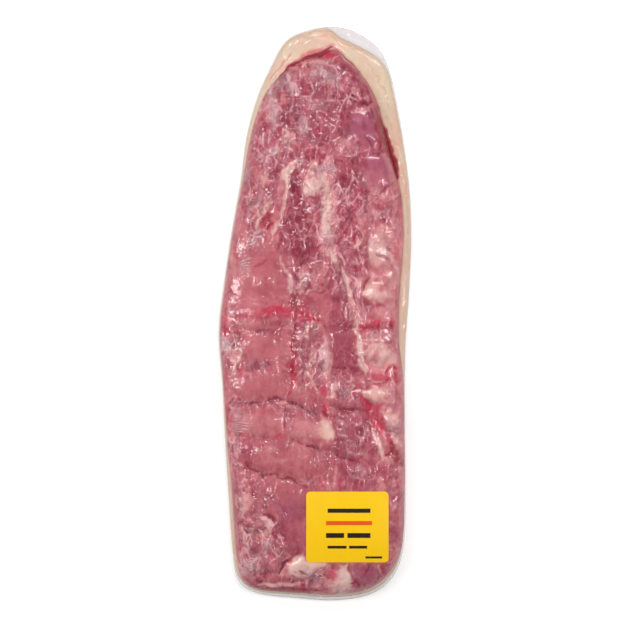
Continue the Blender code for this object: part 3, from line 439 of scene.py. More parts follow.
    ("blood", 0.8, 4.0, -0.4, [(42, -12), (47, -11), (52, -13), (58, -9), (66, -11)]),
    ("blood", 0.6, 2.2, -0.3, [(60, -49), (66, -46), (70, -48)]),
    ("blood", 0.5, 2.0, -0.3, [(44, -56), (54, -58), (62, -57)]),
    # around the third rib, left and right
    ("crevice_shade", 0.75, 2.4, -0.8, [(-58, -78), (-52, -76.6), (-45, -76), (-33, -73), (-28, -73.4)]),
    ("crevice_shade", 0.85, 2.6, -0.8, [(-26, -74.5), (-19, -77), (-13, -79), (-5, -84), (1, -84.4)]),
    ("pink", 0.8, 2.6, 0.3, [(-30, -76), (-27, -75.6), (-24, -77)]),
    ("deep", 0.7, 2.0, -0.5, [(-25, -78), (-26, -92), (-25, -98)]),
    ("blood", 0.65, 1.6, -0.4, [(-20, -107), (-15, -109.4), (-10, -111)]),
    ("crevice_shade", 0.75, 1.7, -0.6, [(-8, -112), (-4, -113), (4, -116)]),
    ("pink", 0.55, 1.8, 0.2, [(-66, -108), (-65.6, -117), (-66, -125)]),
    ("pink", 0.5, 1.2, 0.2, [(-52, -117), (-49, -119), (-45, -115), (-42, -111)]),
    ("blood", 0.85, 2.8, -0.6, [(7, -84), (10, -86.4), (13, -88)]),
    ("crevice_shade", 0.8, 2.0, -0.7, [(12, -79), (20, -80.6), (28, -82), (36, -82), (40, -86)]),
    ("smear", 0.55, 2.0, -0.2, [(18, -92), (20, -97), (18, -102)]),
    ("crevice_shade", 0.75, 1.5, -0.5, [(41, -89), (44, -93), (48, -98), (50, -102)]),
    ("smear", 0.9, 7.2, -0.5, [(40, -71), (44, -77), (47, -82), (50, -88), (55, -95), (60, -102),
        (64, -110)]),
    ("blood", 0.75, 5.2, -0.4, [(64, -109), (67, -117), (72, -124), (76, -130)]),
    ("blood", 0.6, 3.0, -0.3, [(42, -77), (47, -85), (51, -90)]),
    ("rosy", 0.6, 2.4, 0, [(52, -95), (56, -99)]),
    ("cream", 0.85, 3.4, 0.4, [(50, -99), (52, -104), (55, -110), (57, -117), (59, -123)]),
    ("blood", 0.8, 1.8, -0.5, [(61, -121), (62.6, -119), (64, -117)]),
    ("mauve", 0.7, 1.4, -0.4, [(60, -96), (65, -96.4), (70, -98)]),
    ("cream", 0.75, 1.6, 0.3, [(60, -101), (66, -102), (72, -100)]),
    ("crevice_shade", 0.8, 2.0, -0.6, [(17, -119), (22, -122), (28, -124), (33, -126), (38, -127)]),
    ("mauve", 0.7, 1.3, -0.4, [(35, -122), (39, -121)]),
    ("mauve", 0.65, 1.6, -0.4, [(42, -124), (46, -126.4), (50, -128)]),
    ("pink", 0.7, 2.6, 0.3, [(18, -129), (17.6, -137), (17, -147)]),
    ("cream", 0.8, 1.6, 0.3, [(14.5, -92), (15.5, -100), (15, -108)]),
    ("smear", 0.5, 2.0, -0.2, [(-77, -92), (-74, -98), (-73, -104)]),
    # lower left
    ("crevice_shade", 0.7, 2.0, -0.6, [(-58, -130), (-52, -134), (-47, -136), (-44, -141)]),
    ("crevice_shade", 0.65, 1.8, -0.6, [(-43, -138), (-38, -136.8), (-32, -137), (-31, -141)]),
    ("crevice_shade", 0.7, 2.0, -0.6, [(-30, -140), (-20, -141), (-12, -146), (-7, -149)]),
    ("blood", 0.65, 2.0, -0.4, [(-54, -149), (-53, -154), (-49, -158)]),
    ("cream", 0.8, 1.8, 0.3, [(-67, -155), (-66, -165), (-62, -172), (-58, -176)]),
    ("plum", 0.85, 2.2, -0.5, [(-43, -156), (-35, -159), (-28, -165), (-24, -172), (-24, -178)]),
    ("deep", 0.75, 3.2, -0.5, [(-46, -171), (-38, -174), (-31, -180)]),
    ("cream", 0.9, 3.0, 0.5, [(-48, -174), (-42, -175), (-37, -178), (-33, -183)]),
    ("cream", 0.85, 2.2, 0.4, [(-60, -183), (-52, -184), (-46, -187), (-40, -186), (-35, -184)]),
    ("pink", 0.7, 2.4, 0.3, [(-63, -183), (-61.6, -189), (-60, -195)]),
    ("mauve", 0.75, 1.8, -0.5, [(-32, -186), (-28, -189), (-26, -193)]),
    ("pink", 0.75, 1.8, 0.4, [(-35, -188), (-31, -190), (-27, -191)]),
    ("pink", 0.6, 2.2, 0.3, [(-45, -188), (-45.4, -193), (-45, -198)]),
    ("deep", 0.45, 1.6, -0.4, [(-66, -176), (-60, -180), (-50, -181)]),
    # wide end
    ("cream", 0.8, 2.2, 0.4, [(-59, -190), (-57, -198), (-54, -204)]),
    ("blood", 0.7, 2.0, -0.4, [(-58, -206), (-53, -208)]),
    ("smear", 0.7, 1.6, -0.2, [(-63.5, -208), (-64, -214), (-61, -220)]),
    ("cream", 0.8, 1.8, 0.4, [(-36, -199), (-33, -205), (-28, -208), (-26, -212)]),
    ("crevice_shade", 0.85, 1.9, -0.7, [(-16, -204), (-20, -207), (-24, -211), (-27, -215), (-31, -223)]),
    ("mauve", 0.8, 1.4, -0.5, [(-12, -219), (-7, -222), (-2, -223)]),
    ("mauve", 0.75, 1.3, -0.4, [(-2, -223), (-7, -226)]),
    ("mauve", 0.75, 1.3, -0.4, [(-2, -223), (2, -220)]),
    ("crevice_shade", 0.8, 1.5, -0.5, [(-2, -223), (4, -225), (8, -223.5), (12, -223)]),
    ("cream", 0.7, 2.8, 0.3, [(-47, -232), (-35, -231), (-20, -230.4), (-5, -230)]),
    ("blood", 0.6, 1.8, -0.4, [(-48, -236), (-30, -235), (-10, -235), (5, -237)]),
    ("cream", 0.6, 1.3, 0.2, [(-68, -208), (-62, -220), (-57, -226)]),
    ("blood", 0.7, 1.8, -0.5, [(28.4, -211), (29, -217), (33, -226), (37, -231)]),
    ("mauve", 0.7, 1.4, -0.4, [(46, -212), (44, -218), (43, -224)]),
    ("crevice_shade", 0.8, 1.6, -0.5, [(29.4, -229), (33.4, -229)]),
    ("smear", 0.75, 2.4, -0.2, [(8, -240), (20, -242), (35, -240), (41, -237)]),
    ("cream", 0.75, 2.2, 0.3, [(54, -213), (56, -222)]),
    ("smear", 0.7, 3.2, -0.2, [(58, -214), (59.6, -225), (56, -231)]),
    ("deep", 0.5, 1.6, -0.4, [(53, -212), (54, -220), (52, -230), (44, -235)]),
    # around the label
    ("smear", 0.55, 2.2, -0.2, [(21, -140), (21, -148)]), ("smear", 0.5, 2.0, -0.2, [(8, -140), (8, -147)]),
    ("mauve", 0.6, 1.6, -0.3, [(68, -199), (67.4, -202)]),
    ("deep", 0.4, 1.6, -0.3, [(30, -133), (34, -140), (33, -148)]),
    ("blood", 1.0, 8.0, -0.6, [(54.5, 164), (56, 155), (57.5, 147), (59, 138)]),
    ("crevice_shade", 0.8, 1.6, -0.4, [(40, 181), (44, 178), (48, 179)]),
    ("crevice_shade", 0.7, 1.4, -0.4, [(26, 190), (31, 183), (37, 181)]),
    ("smear", 0.75, 7.0, -0.2, [(-17, -6), (-17, -20), (-19, -40), (-19, -58)]),
    ("blood", 0.75, 3.6, -0.3, [(-17, -8), (-17, -20), (-19, -40), (-18, -52)]),
    ("smear", 0.70, 7.0, 0, [(-44, 3), (-28, 3), (-12, 0), (2, -5)]),
    ("blood", 0.55, 3.0, 0, [(-20, 10), (-16, 2), (-8, -2)]),
]

# --- Fat layer ---------------------------------------------------------------------------------------
# Soft fields and lines on the fat's rim, as on the meat.
FAT_FIELDS = [
    ("peach", 0.3, -71, -60, 8, 190, 2, 0), ("peach", 0.35, 78, -40, 6, 150, 0, 0),
    ("peach", 0.5, 70, 150, 6, 40, -8, 0), ("peach", 0.35, 20, 234, 30, 8, 0, 0),
    ("slack", 0.45, 50, 232, 14, 12, -40, 0), ("slack", 0.3, 78, -120, 4, 60, 0, 0),
    ("peach", 0.45, 74, 110, 5, 20, 0, 0), ("tan", 0.35, -66, -198, 5, 12, 0, 0),
    ("tan", 0.3, 62, 120, 4, 16, 0, 0),
]
FAT_LINES = [
    ("tan", 0.55, 1.3, -0.3, [(-30, 228), (-20, 237), (0, 236), (15, 237), (22, 231)]),
    ("tan", 0.4, 1.1, -0.2, [(-5, 241), (15, 241)]),
    ("tan", 0.5, 1.4, -0.3, [(25, 231), (35, 227), (60, 225)]),
    ("tan", 0.4, 1.2, -0.3, [(44, 214), (52, 204), (60, 190), (64, 176)]),
    ("tan", 0.35, 1.2, -0.2, [(62, 149), (75, 141)]),
    ("tan", 0.35, 1.2, -0.2, [(60, 165), (62, 168), (66, 158)]),
    ("slack", 0.5, 1.6, 0.2, [(-24, 226), (-12, 231), (6, 232), (20, 226)]),
    ("tan", 0.35, 1.2, -0.2, [(74, 130), (79, 100), (80, 60)]),
    ("coral", 0.5, 1.6, 0, [(-38, 200), (-30, 212), (-22, 222)]),
    ("smear", 0.5, 5.0, 0, [(-24, 211), (-8, 221), (5, 225), (16, 229)]),
    ("blood", 1.0, 3.4, 0, [(-30, 204), (-22, 210), (-18, 213.6), (-12, 216.8), (-8, 219.6), (0, 221),
        (5, 223), (10, 225.4), (16, 227)]),
    ("blood", 1.0, 4.0, 0, [(57, 165), (60, 155), (62, 146), (65, 138), (69, 128), (72, 116)]),
    ("tan", 0.5, 2.0, 0, [(-52, -242), (-20, -243), (20, -244), (40, -240)]),
    ("smear", 0.6, 2.4, 0, [(16, 227), (25, 220), (36, 208), (46, 193), (54, 173), (58, 163)]),
    ("blood", 0.5, 1.5, 0, [(24, 220), (36, 207), (46, 192), (54, 171)]),
]

# --- Clear film --------------------------------------------------------------------------------------
# Whitish places where the film is slack or finely crumpled, the white partly the film's own and partly a
# painted highlight: veil, x, y, half width, half length, turn.
VEILS = [
    (0.30, 14, 201, 9, 6, 0), (0.35, -18, 191, 6, 5, 10), (0.30, -36, 174, 4, 20, 4),
    (0.25, -10, 160, 5, 11, 6), (0.30, -35, 138, 8, 5, 10), (0.28, 11, 122, 9, 4, 0),
    (0.20, -58, 117, 6, 8, 10), (0.22, -50, 94, 12, 6, 40), (0.30, 62, 222, 4, 20, -30),
    (0.30, 56, 232, 10, 6, -40), (0.25, -38, 212, 3, 10, 15), (0.18, -10, 236, 20, 5, 0),
    (0.25, -60, 40, 6, 10, 0), (0.22, -52, 64, 8, 9, 0), (0.30, -76, -25, 5, 6, 0),
    (0.20, -66, -88, 9, 12, 20), (0.20, -68, -115, 7, 20, 0), (0.20, -46, -205, 12, 12, 0),
    (0.28, -58, -216, 7, 10, 0), (0.45, -20, -243, 32, 3, 2), (0.30, 18, -245, 18, 2.4, 0),
    (0.22, 26, -226, 7, 14, 0), (0.22, -5, -222, 14, 7, 0), (0.15, 24, -66, 8, 8, 0),
    (0.18, 79, 60, 3, 60, 0), (0.22, 79, -100, 2.4, 90, 0), (0.30, 71, -209, 3, 8, 0),
    (0.20, 52, 54, 8, 12, 0), (0.15, 55, -20, 10, 10, 0), (0.20, 64, -98, 8, 14, 0),
    (0.18, 10, -40, 5, 16, 0), (0.15, 0, 204, 10, 8, 0), (0.25, -30, 196, 10, 5, 20),
    (0.16, 2, 180, 12, 10, 0), (0.20, 34, 141, 5, 3, 0), (0.25, 50, -148, 12, 3, 0),
]
# How crumpled the film is and how restless the tissue under it:
# amount, x, y, half width, half length, turn.
RESTLESS_GROUND = 0.30
RESTLESS = [
    (1.0, -20, 190, 24, 26, -20), (0.9, 10, 196, 16, 20, 0), (0.8, 28, 190, 16, 16, 40),
    (0.9, -38, 142, 16, 22, 0), (0.8, -6, 158, 16, 22, 0), (0.9, 0, 130, 18, 14, 0),
    (0.8, -52, 98, 14, 22, 0), (0.7, -52, 62, 13, 14, 30), (1.0, 28, 96, 20, 24, 0),
    (1.0, 28, 45, 12, 40, 0), (0.9, 52, 88, 16, 14, 0), (0.8, 8, 70, 9, 40, 0), (0.7, -62, 38, 6, 12, 0),
    (0.8, -10, 28, 10, 14, 0), (0.7, -14, 66, 14, 16, 0), (0.6, 30, 0, 12, 20, 0),
    (1.0, -4, -34, 13, 28, 0), (0.9, 24, -62, 12, 14, 0), (0.7, 54, -30, 16, 22, 0),
    (0.8, -72, -26, 9, 14, 0), (0.7, -68, -82, 9, 12, 0), (0.6, 34, -105, 18, 20, 0),
    (0.6, 64, -95, 10, 20, 0), (0.7, -68, -116, 7, 18, 0), (0.9, -48, -200, 20, 28, 0),
    (1.0, -6, -222, 18, 12, 0), (0.9, 24, -228, 9, 14, 0), (0.7, -58, -158, 10, 14, 0),
    (0.6, 50, 50, 14, 18, 0), (0.6, -10, -84, 14, 6, 0), (0.6, -40, -77, 26, 4, 0),
    (0.5, 38, -138, 16, 10, 0), (0.6, 68, -150, 7, 16, 0), (0.6, 50, 14, 14, 14, 0),
    (0.5, 10, 236, 40, 8, 0),
]
# Where film and tissue lie smooth, over the above.
CALM = [
    (0.6, 26, 32, 3.4, 26, -18), (0.6, 41, -8, 3.4, 30, 0), (0.5, -66, 46, 8, 14, 0),
    (0.85, -8, -216, 20, 8, 0), (0.8, 24, -226, 7, 14, 0), (0.6, 56, -40, 15, 18, 0),
    (0.5, 58, 4, 13, 9, 0), (0.9, 41, 158, 15, 14, 0), (0.85, 52, 120, 13, 12, 0),
    (0.85, -46, 20, 22, 20, 0), (0.8, -44, -28, 20, 9, 0), (0.75, -44, -62, 20, 9, 0),
    (0.8, -20, -155, 15, 12, 0), (0.7, -44, -92, 22, 8, 0), (0.7, 8, 12, 9, 7, 0),
    (0.7, -12, -95, 10, 8, 0), (0.6, -30, -125, 24, 9, -12), (0.7, -14, -180, 12, 14, 0),
    (0.6, 42, -220, 9, 10, 0), (0.6, 24, 222, 40, 8, 0), (0.7, 70, 160, 7, 50, -10),
    (0.5, -60, -62, 8, 8, 0), (0.7, 55, 36, 10, 6, 0), (0.8, 48, 20, 9, 9, 0), (0.7, 61, -38, 7, 10, 0),
    (0.8, 51, -68, 10, 6, 0), (0.85, 8, -100, 8, 11, 0), (0.75, 53, 54, 9, 17, 0), (0.8, 64, -89, 8, 8, 0),
    (0.5, 10, 88, 4, 24, 0), (0.6, 58, 14, 9, 6, 0), (0.7, -6, -213, 14, 7, 0), (0.6, 26, -224, 6, 12, 0),
    (0.6, -52, 40, 16, 10, 0), (0.6, -40, 52, 14, 14, 0), (0.5, 20, 8, 12, 12, 0),
    (0.5, 22, -24, 10, 12, 0), (0.6, -58, -160, 6, 8, 0),
]
# Patches of parallel pleats: x, y, half width, half length, turn of the pleats, pitch, rise.
PLEATS = [
    (17, 199, 6, 5, 10, 2.3, 0.16), (-45, 134, 7, 5, -35, 2.8, 0.30), (-53, 96, 5, 5, 40, 3.0, 0.16),
    (-60, 42, 4, 10, 15, 2.9, 0.20), (-52, 66, 5, 8, 35, 2.8, 0.24), (-66, -76, 6, 4, 12, 2.8, 0.24),
    (-68, -116, 6, 14, -40, 2.6, 0.12), (24, -64, 5, 4, 20, 2.6, 0.12),
]
# Single folds: width, rise, route.
FOLDS = [
    (1.3, 0.50, [(-26, 206), (-20, 205), (-14, 200)]), (1.2, 0.45, [(-28, 201), (-18, 197), (-12, 196)]),
    (1.2, 0.45, [(-38, 193), (-26, 194)]),
    (1.2, 0.35, [(22, 221), (30, 214), (36, 209), (45, 196), (50, 190)]),
    (1.1, 0.40, [(1, 173), (10, 168)]), (1.1, 0.40, [(2, 170), (6, 162), (10, 158)]),
    (1.2, 0.35, [(-6, 178), (0, 180), (8, 178)]), (1.2, 0.40, [(-8, 185), (-5, 182), (-2, 179)]),
    (1.2, 0.40, [(-9, 181), (-5, 182), (-1, 184)]), (1.2, 0.40, [(30, 140), (38, 141)]),
    (1.2, 0.45, [(-13, 150), (-11, 148)]), (1.3, 0.50, [(-38, 108), (-38, 104)]),
    (1.2, 0.45, [(-58, 92), (-54, 97), (-51, 99)]), (1.2, 0.40, [(-57, 88), (-53, 93), (-50, 95)]),
    (1.2, 0.50, [(-8, 110), (-6.6, 103)]), (1.1, 0.40, [(1, 96.4), (7, 95)]),
    (1.2, 0.45, [(22.6, 104), (23.4, 102)]), (1.2, 0.40, [(62, 96), (67, 99), (72, 104)]),
    (1.4, 0.45, [(-41, 67), (-37, 62)]), (1.3, 0.45, [(-34, 66), (-31, 68)]),
    (1.2, 0.40, [(-12, 36), (-12.4, 32)]), (1.0, 0.30, [(-37, 18), (-35, 15), (-34, 12)]),
    (1.0, 0.30, [(-57, 16), (-54, 14), (-51, 10)]), (1.2, 0.40, [(-26, 14), (-23, 17)]),
    (1.2, 0.50, [(1, 64.4), (3, 63.6)]), (1.2, 0.40, [(-4, 30), (-2, 25), (0, 20)]),
    (1.2, 0.40, [(-5, 18), (-3, 16)]), (1.2, 0.40, [(-78, 15), (-76, 13)]),
    (1.2, 0.40, [(-79, 7), (-77, 1)]), (1.3, 0.45, [(57, 57), (61, 53), (65, 47), (70, 38)]),
    (1.2, 0.45, [(-54, -5), (-52, -7)]), (1.2, 0.45, [(-40, -17), (-38, -18)]),
    (1.2, 0.45, [(-39, -22.4), (-36, -24)]), (1.2, 0.40, [(-38, -25), (-35, -26)]),
    (1.2, 0.45, [(-26, -57), (-24, -59)]), (1.2, 0.40, [(-18, -56), (-16, -57)]),
    (1.2, 0.40, [(-46, -60), (-44, -60)]), (1.2, 0.40, [(-58, -22), (-56, -22)]),
    (1.2, 0.40, [(-58, -57), (-56, -57)]), (1.2, 0.40, [(-32, -46), (-30, -46)]),
    (1.1, 0.40, [(-74, -13), (-69, -8)]), (1.4, 0.45, [(-63, -31), (-64.5, -38), (-68, -46), (-70, -52)]),
    (1.1, 0.35, [(-5, -14), (-3, -14)]), (1.1, 0.40, [(-13, -26), (-11, -28)]),
    (1.2, 0.40, [(-8, -22), (-5, -30), (0, -38)]),
    (1.2, 0.45, [(48, -24), (54, -27), (58.5, -32), (58.5, -38), (55, -42)]),
    (1.3, 0.50, [(53, -63), (57, -63), (61, -62)]), (1.3, 0.50, [(-75, -74), (-70, -74.5)]),
    (1.2, 0.50, [(-70, -78), (-65, -77), (-62, -73), (-60, -71)]), (1.2, 0.45, [(-67, -79), (-62, -78)]),
    (1.2, 0.45, [(-53, -78), (-50, -78)]), (1.2, 0.45, [(-64, -83.5), (-62, -83.5)]),
    (1.2, 0.50, [(-57, -84), (-51, -84)]), (1.2, 0.40, [(-48, -79), (-46, -79)]),
    (1.1, 0.35, [(-77, -95), (-63, -99.5)]), (1.1, 0.35, [(-77, -95), (-65, -95)]),
    (1.1, 0.35, [(-77, -95), (-70, -93)]), (1.1, 0.40, [(-70, -88), (-62, -87)]),
    (1.2, 0.45, [(-37, -106.4), (-35.6, -106.8)]), (1.2, 0.45, [(-30, -109), (-28, -109)]),
    (1.2, 0.40, [(-27, -108), (-25, -108)]), (1.2, 0.45, [(-13, -113.4), (-11, -113.8)]),
    (1.3, 0.50, [(-8, -112), (-4, -112), (4, -115)]), (1.6, 0.35, [(-54, -104), (-50, -105)]),
    (1.2, 0.45, [(30, -87), (32, -87)]), (1.1, 0.45, [(14.6, -93), (15.4, -100), (15, -108)]),
    (1.2, 0.45, [(30, -125), (33, -125.4)]), (1.2, 0.40, [(14, -125), (17, -126)]),
    (1.2, 0.40, [(60, -101), (66, -102), (72, -100)]), (1.2, 0.45, [(-49, -136.4), (-46, -137)]),
    (1.2, 0.45, [(-53, -158), (-50, -160)]), (1.3, 0.45, [(-62, -172), (-57, -175)]),
    (1.2, 0.45, [(-59, -172), (-54, -175)]), (1.2, 0.40, [(-13, -162), (-11, -162)]),
    (1.2, 0.40, [(-13, -165), (-11, -165)]), (1.2, 0.40, [(-67, -155), (-66, -165), (-62, -172)]),
    (1.2, 0.40, [(-36, -199), (-33, -205), (-28, -208), (-26, -212)]),
    (1.4, 0.40, [(-47, -232), (-35, -231), (-20, -230.4), (-5, -230)]),
    (1.2, 0.35, [(-12, -219), (-7, -222), (-2, -223)]), (1.2, 0.35, [(-2, -223), (4, -225), (12, -223)]),
    (1.1, 0.35, [(-68, -208), (-62, -220), (-57, -226)]), (1.2, 0.40, [(67, -164), (69.4, -164)]),
    (1.4, 0.40, [(-30, 228), (-20, 237), (0, 236), (15, 237), (22, 231)]),
    (1.3, 0.35, [(-5, 241), (15, 241)]), (1.4, 0.40, [(25, 231), (35, 227), (60, 225)]),
    (1.4, 0.35, [(44, 214), (54, 202), (62, 186)]), (1.2, 0.35, [(50, 222), (58, 208), (66, 186)]),
    (1.2, 0.30, [(62, 149), (75, 141)]), (1.2, 0.30, [(74, 130), (79, 100), (80, 70)]),
    (1.2, 0.35, [(-50, -243), (-20, -241.6), (8, -243)]), (1.2, 0.30, [(8, -243), (30, -243), (44, -239)]),
]
# Chance creases where the film is restless: how many are tried, and the longest and highest.
# Painted highlight and painted shade on the two sides of each film wrinkle, in the meat's colour: where the
# wave starts and ends, share, colour.
WRINKLE_HIGHLIGHT_AND_SHADE = [(0.30, 0.95, 0.85, (0.97, 0.87, 0.88)), (-0.30, -0.95, 0.60, (0.46, 0.07, 0.17))]
# Threads in the tissue where it is restless: scale, turn, share, colour.
STRANDS = [
    (120, 0.5, 0.30, (0.93, 0.74, 0.74)), (150, -0.9, 0.25, (0.93, 0.70, 0.71)),
    (130, 1.3, 0.55, (0.48, 0.09, 0.20)),
]
# Painted light and shade of the sharp-edged facets that the drawn film makes, in the meat's colour:
# channel, start, share, colour.
FACET_LIGHT_AND_SHADE = [
    ("Red", 0.66, 0.22, (0.88, 0.64, 0.69)),
    ("Green", 0.42, 0.62, (0.49, 0.11, 0.24)),
    ("Blue", 0.56, 0.50, (0.66, 0.14, 0.27)),
]
# Creases drawn by the finishes, how many to the metre and how wide; and the share and colour of the painted
# highlight they lay on the meat.
COARSE_CREASES = (105, 0.085)
FINE_CREASES = (210, 0.13)
CREASE_HIGHLIGHT_SHARE = 0.6
CREASE_HIGHLIGHT_COLOUR = (0.95, 0.75, 0.76)
FILM_GLOSS = (0.055, 0.09)   # share of gloss on the film, seen straight on and at a slant
# Wrinkles that fan out from a point: strength, x, y, nearest, farthest, from angle, to angle, count.
FANS = [
    (0.8, -30, 209, 3, 19, -75, -15, 7), (0.7, -43, 191, 2, 13, -60, 10, 6),
    (0.7, -40, 177, 2, 12, -60, 20, 6), (0.6, -42, 161, 2, 11, -70, 10, 6),
    (0.8, 18, 203, 3, 15, 140, 260, 8), (0.7, 16, 200, 3, 14, 262, 345, 5),
    (0.5, 12, 182, 3, 12, 90, 200, 6), (0.6, -10, 156, 3, 12, 80, 200, 7),
    (0.6, -10, 158, 3, 12, 205, 290, 5), (0.5, -61, 92, 3, 13, 0, 75, 6),
    (0.5, 33, 140, 2, 12, 150, 215, 5), (0.55, 62, 70, 49, 57, 150, 206, 19),
    (0.35, 40, 100, 4, 19, 150, 250, 8), (0.35, 18, 60, 4, 17, -70, 40, 8),
    (0.35, 36, 30, 4, 16, 120, 230, 8), (0.9, -80, -95, 3, 26, -34, 24, 10),
    (0.7, -82, -20, 2, 14, -70, -10, 6), (0.5, -2, -223, 2, 13, 120, 200, 6),
    (0.5, -2, -223, 2, 13, -30, 60, 5), (0.4, -48, -184, 3, 13, 150, 260, 7),
    (0.4, -62, -214, 3, 14, -40, 60, 7), (0.5, 18, -58, 3, 13, -70, 30, 6),
    (0.6, -14, -22, 3, 15, -80, 10, 7), (0.5, 4, -40, 3, 12, 100, 230, 7),
    (0.4, 58, 64, 4, 16, -75, -20, 4), (0.35, 33, -124, 8, 28, 72, 108, 5),
    (0.4, 74, -95, 3, 12, 130, 240, 6), (0.6, 6, 122, 2, 13, -40, 50, 6),
    (0.4, -16, 23, 2, 11, 190, 320, 5), (0.35, 60, 100, 4, 20, 140, 230, 6),
    (0.4, -66, 122, 2, 12, -60, 10, 5), (0.4, 44, 190, 3, 15, 130, 240, 6),
]
CREASES = 2600
CREASE_LENGTH = 8.0
CREASE_RISE = 0.30
LABEL_CORNER = 3.5


# --- Lines and outlines in the plan ------------------------------------------------------------------
def spline(points, closed=False, steps=6):
    """Catmull-Rom curve through the points, as a dense line of points."""
    p = np.array(points, float)
    if closed:
        p = np.vstack([p[-1], p, p[:2]])
    else:
        p = np.vstack([2 * p[0] - p[1], p, 2 * p[-1] - p[-2]])
    t = np.linspace(0, 1, steps, endpoint=False)[:, None]
    runs = [
        0.5 * (2 * b + (c - a) * t + (2 * a - 5 * b + 4 * c - d) * t**2 + (3 * b - a - 3 * c + d) * t**3)
        for a, b, c, d in zip(p, p[1:], p[2:], p[3:])
    ]
    return np.vstack(runs + ([] if closed else [p[-2:-1]]))


def outline(edges):
    """The closed outline through four edges, and where along it each edge starts."""
    steps = 12
    starts = np.cumsum([0] + [len(e) for e in edges]) * steps
    return spline([p for e in edges for p in e], closed=True, steps=steps), starts


def crowded(count, crowding=0.22):
    """Shares from 0 to 1 in count steps, the end steps narrower than the middle ones."""
    t = np.linspace(0, 1, count + 1)
    return t - crowding * np.sin(2 * np.pi * t) / (2 * np.pi)


def patch_in(edges, rows, columns):
    """A grid of points, (rows + 1, columns + 1, 2), that fills the outline and ends on it."""
    loop, starts = outline(edges)

    def edge(i, count):
        line = np.take(loop, range(starts[i], starts[i + 1] + 1), axis=0, mode="wrap")
        lengths = np.r_[0, np.cumsum(np.linalg.norm(np.diff(line, axis=0), axis=1))]
        at = crowded(count) * lengths[-1]
        return np.column_stack([np.interp(at, lengths, line[:, k]) for k in range(2)])

    left, top = edge(0, rows), edge(1, columns)
    right, bottom = edge(2, rows)[::-1], edge(3, columns)[::-1]
    u = crowded(columns)[None, :, None]
    v = crowded(rows)[:, None, None]
    sides = (1 - u) * left[:, None] + u * right[:, None]
    ends = (1 - v) * bottom[None] + v * top[None]
    corners = (1 - v) * ((1 - u) * left[0] + u * right[0]) + v * ((1 - u) * left[-1] + u * right[-1])
    return sides + ends - corners


def nearest_on(line, x, y):
    """Distance of each point from a line of points, and the share of the line's length there."""
    best = np.full(x.shape, np.inf)
    share = np.zeros(x.shape)
    lengths = np.r_[0, np.cumsum(np.linalg.norm(np.diff(line, axis=0), axis=1))]
    for k, (a, b) in enumerate(zip(line, line[1:])):
        run = b - a
        along = np.clip(((x - a[0]) * run[0] + (y - a[1]) * run[1]) / max(run @ run, 1e-9), 0, 1)
        away = np.hypot(x - a[0] - along * run[0], y - a[1] - along * run[1])
        closer = away < best
        best = np.where(closer, away, best)
        share = np.where(closer, (lengths[k] + along * (lengths[k + 1] - lengths[k])) / lengths[-1], share)
    return best, share


def smooth_step(t):
    t = np.clip(t, 0, 1)
    return t * t * (3 - 2 * t)


def quarter_round(depth, radius):
    """0 at an edge, rising as a quarter circle to 1 one radius in."""
    return np.sqrt(1 - (1 - np.clip(depth / radius, 0, 1)) ** 2)


# --- The map: the plan of the pack as fields of height and colour --------------------------------------
STEP = 0.5
MAP_X = np.arange(-88, 88 + STEP, STEP)
MAP_Y = np.arange(-251, 251 + STEP, STEP)
X, Y = np.meshgrid(MAP_X, MAP_Y)


def cloud(wavelength, seed, stretch=1.0, turn=0.0):
    """Smooth seeded noise over the map, from about -1 to 1, longer by stretch along its turned y."""
    angle = math.radians(turn)
    u = (X * math.cos(angle) + Y * math.sin(angle)) / wavelength + 400.0
    v = (Y * math.cos(angle) - X * math.sin(angle)) / (wavelength * stretch) + 400.0
    lattice = np.random.default_rng(seed).uniform(-1, 1, (512, 512))
    column, row = np.floor(u).astype(int), np.floor(v).astype(int)
    across, along = smooth_step(u - column), smooth_step(v - row)
    column, row = column % 511, row % 511
    low = lattice[row, column] * (1 - across) + lattice[row, column + 1] * across
    high = lattice[row + 1, column] * (1 - across) + lattice[row + 1, column + 1] * across
    return low * (1 - along) + high * along


def blurred(field, radius):
    """The field smoothed by a bell curve of that radius."""
    rows = np.fft.fftfreq(field.shape[0], STEP)[:, None]
    columns = np.fft.rfftfreq(field.shape[1], STEP)[None]
    bell = np.exp(-2 * (math.pi * radius) ** 2 * (rows**2 + columns**2))
    return np.fft.irfft2(np.fft.rfft2(field) * bell, field.shape)


def swollen(field, steps):
    """Each place takes the highest value within that many steps: a film spans hollows this way."""
    high = field.copy()
    for axis in (0, 1):
        wide = high.copy()
        for shift in range(1, steps + 1):
            wide = np.maximum(wide, np.maximum(np.roll(high, shift, axis), np.roll(high, -shift, axis)))
        high = wide
    return high


def depth_inside(edges):
    """Distance inside a closed outline over the map, negative outside it."""
    loop, _ = outline(edges)
    ring = np.vstack([loop, loop[:1]])[::2]
    ring = np.vstack([ring, ring[:1]])
    coarse_x, coarse_y = MAP_X[::4], MAP_Y[::4]
    x, y = np.meshgrid(coarse_x, coarse_y)
    inside = np.zeros(x.shape, bool)
    for (ax, ay), (bx, by) in zip(ring, ring[1:]):
        crosses = (ay > y) != (by > y)
        inside ^= crosses & (x < (bx - ax) * (y - ay) / (by - ay if by != ay else 1e-12) + ax)
    away = np.where(inside, 1, -1) * nearest_on(ring, x, y)[0]
    wide = np.array([np.interp(MAP_X, coarse_x, row) for row in away])
    return np.array([np.interp(MAP_Y, coarse_y, column) for column in wide.T]).T


def window(low, high):
    """The part of the map between two corners."""
    rows = slice(*np.searchsorted(MAP_Y, (low[1], high[1])))
    columns = slice(*np.searchsorted(MAP_X, (low[0], high[0])))
    return rows, columns


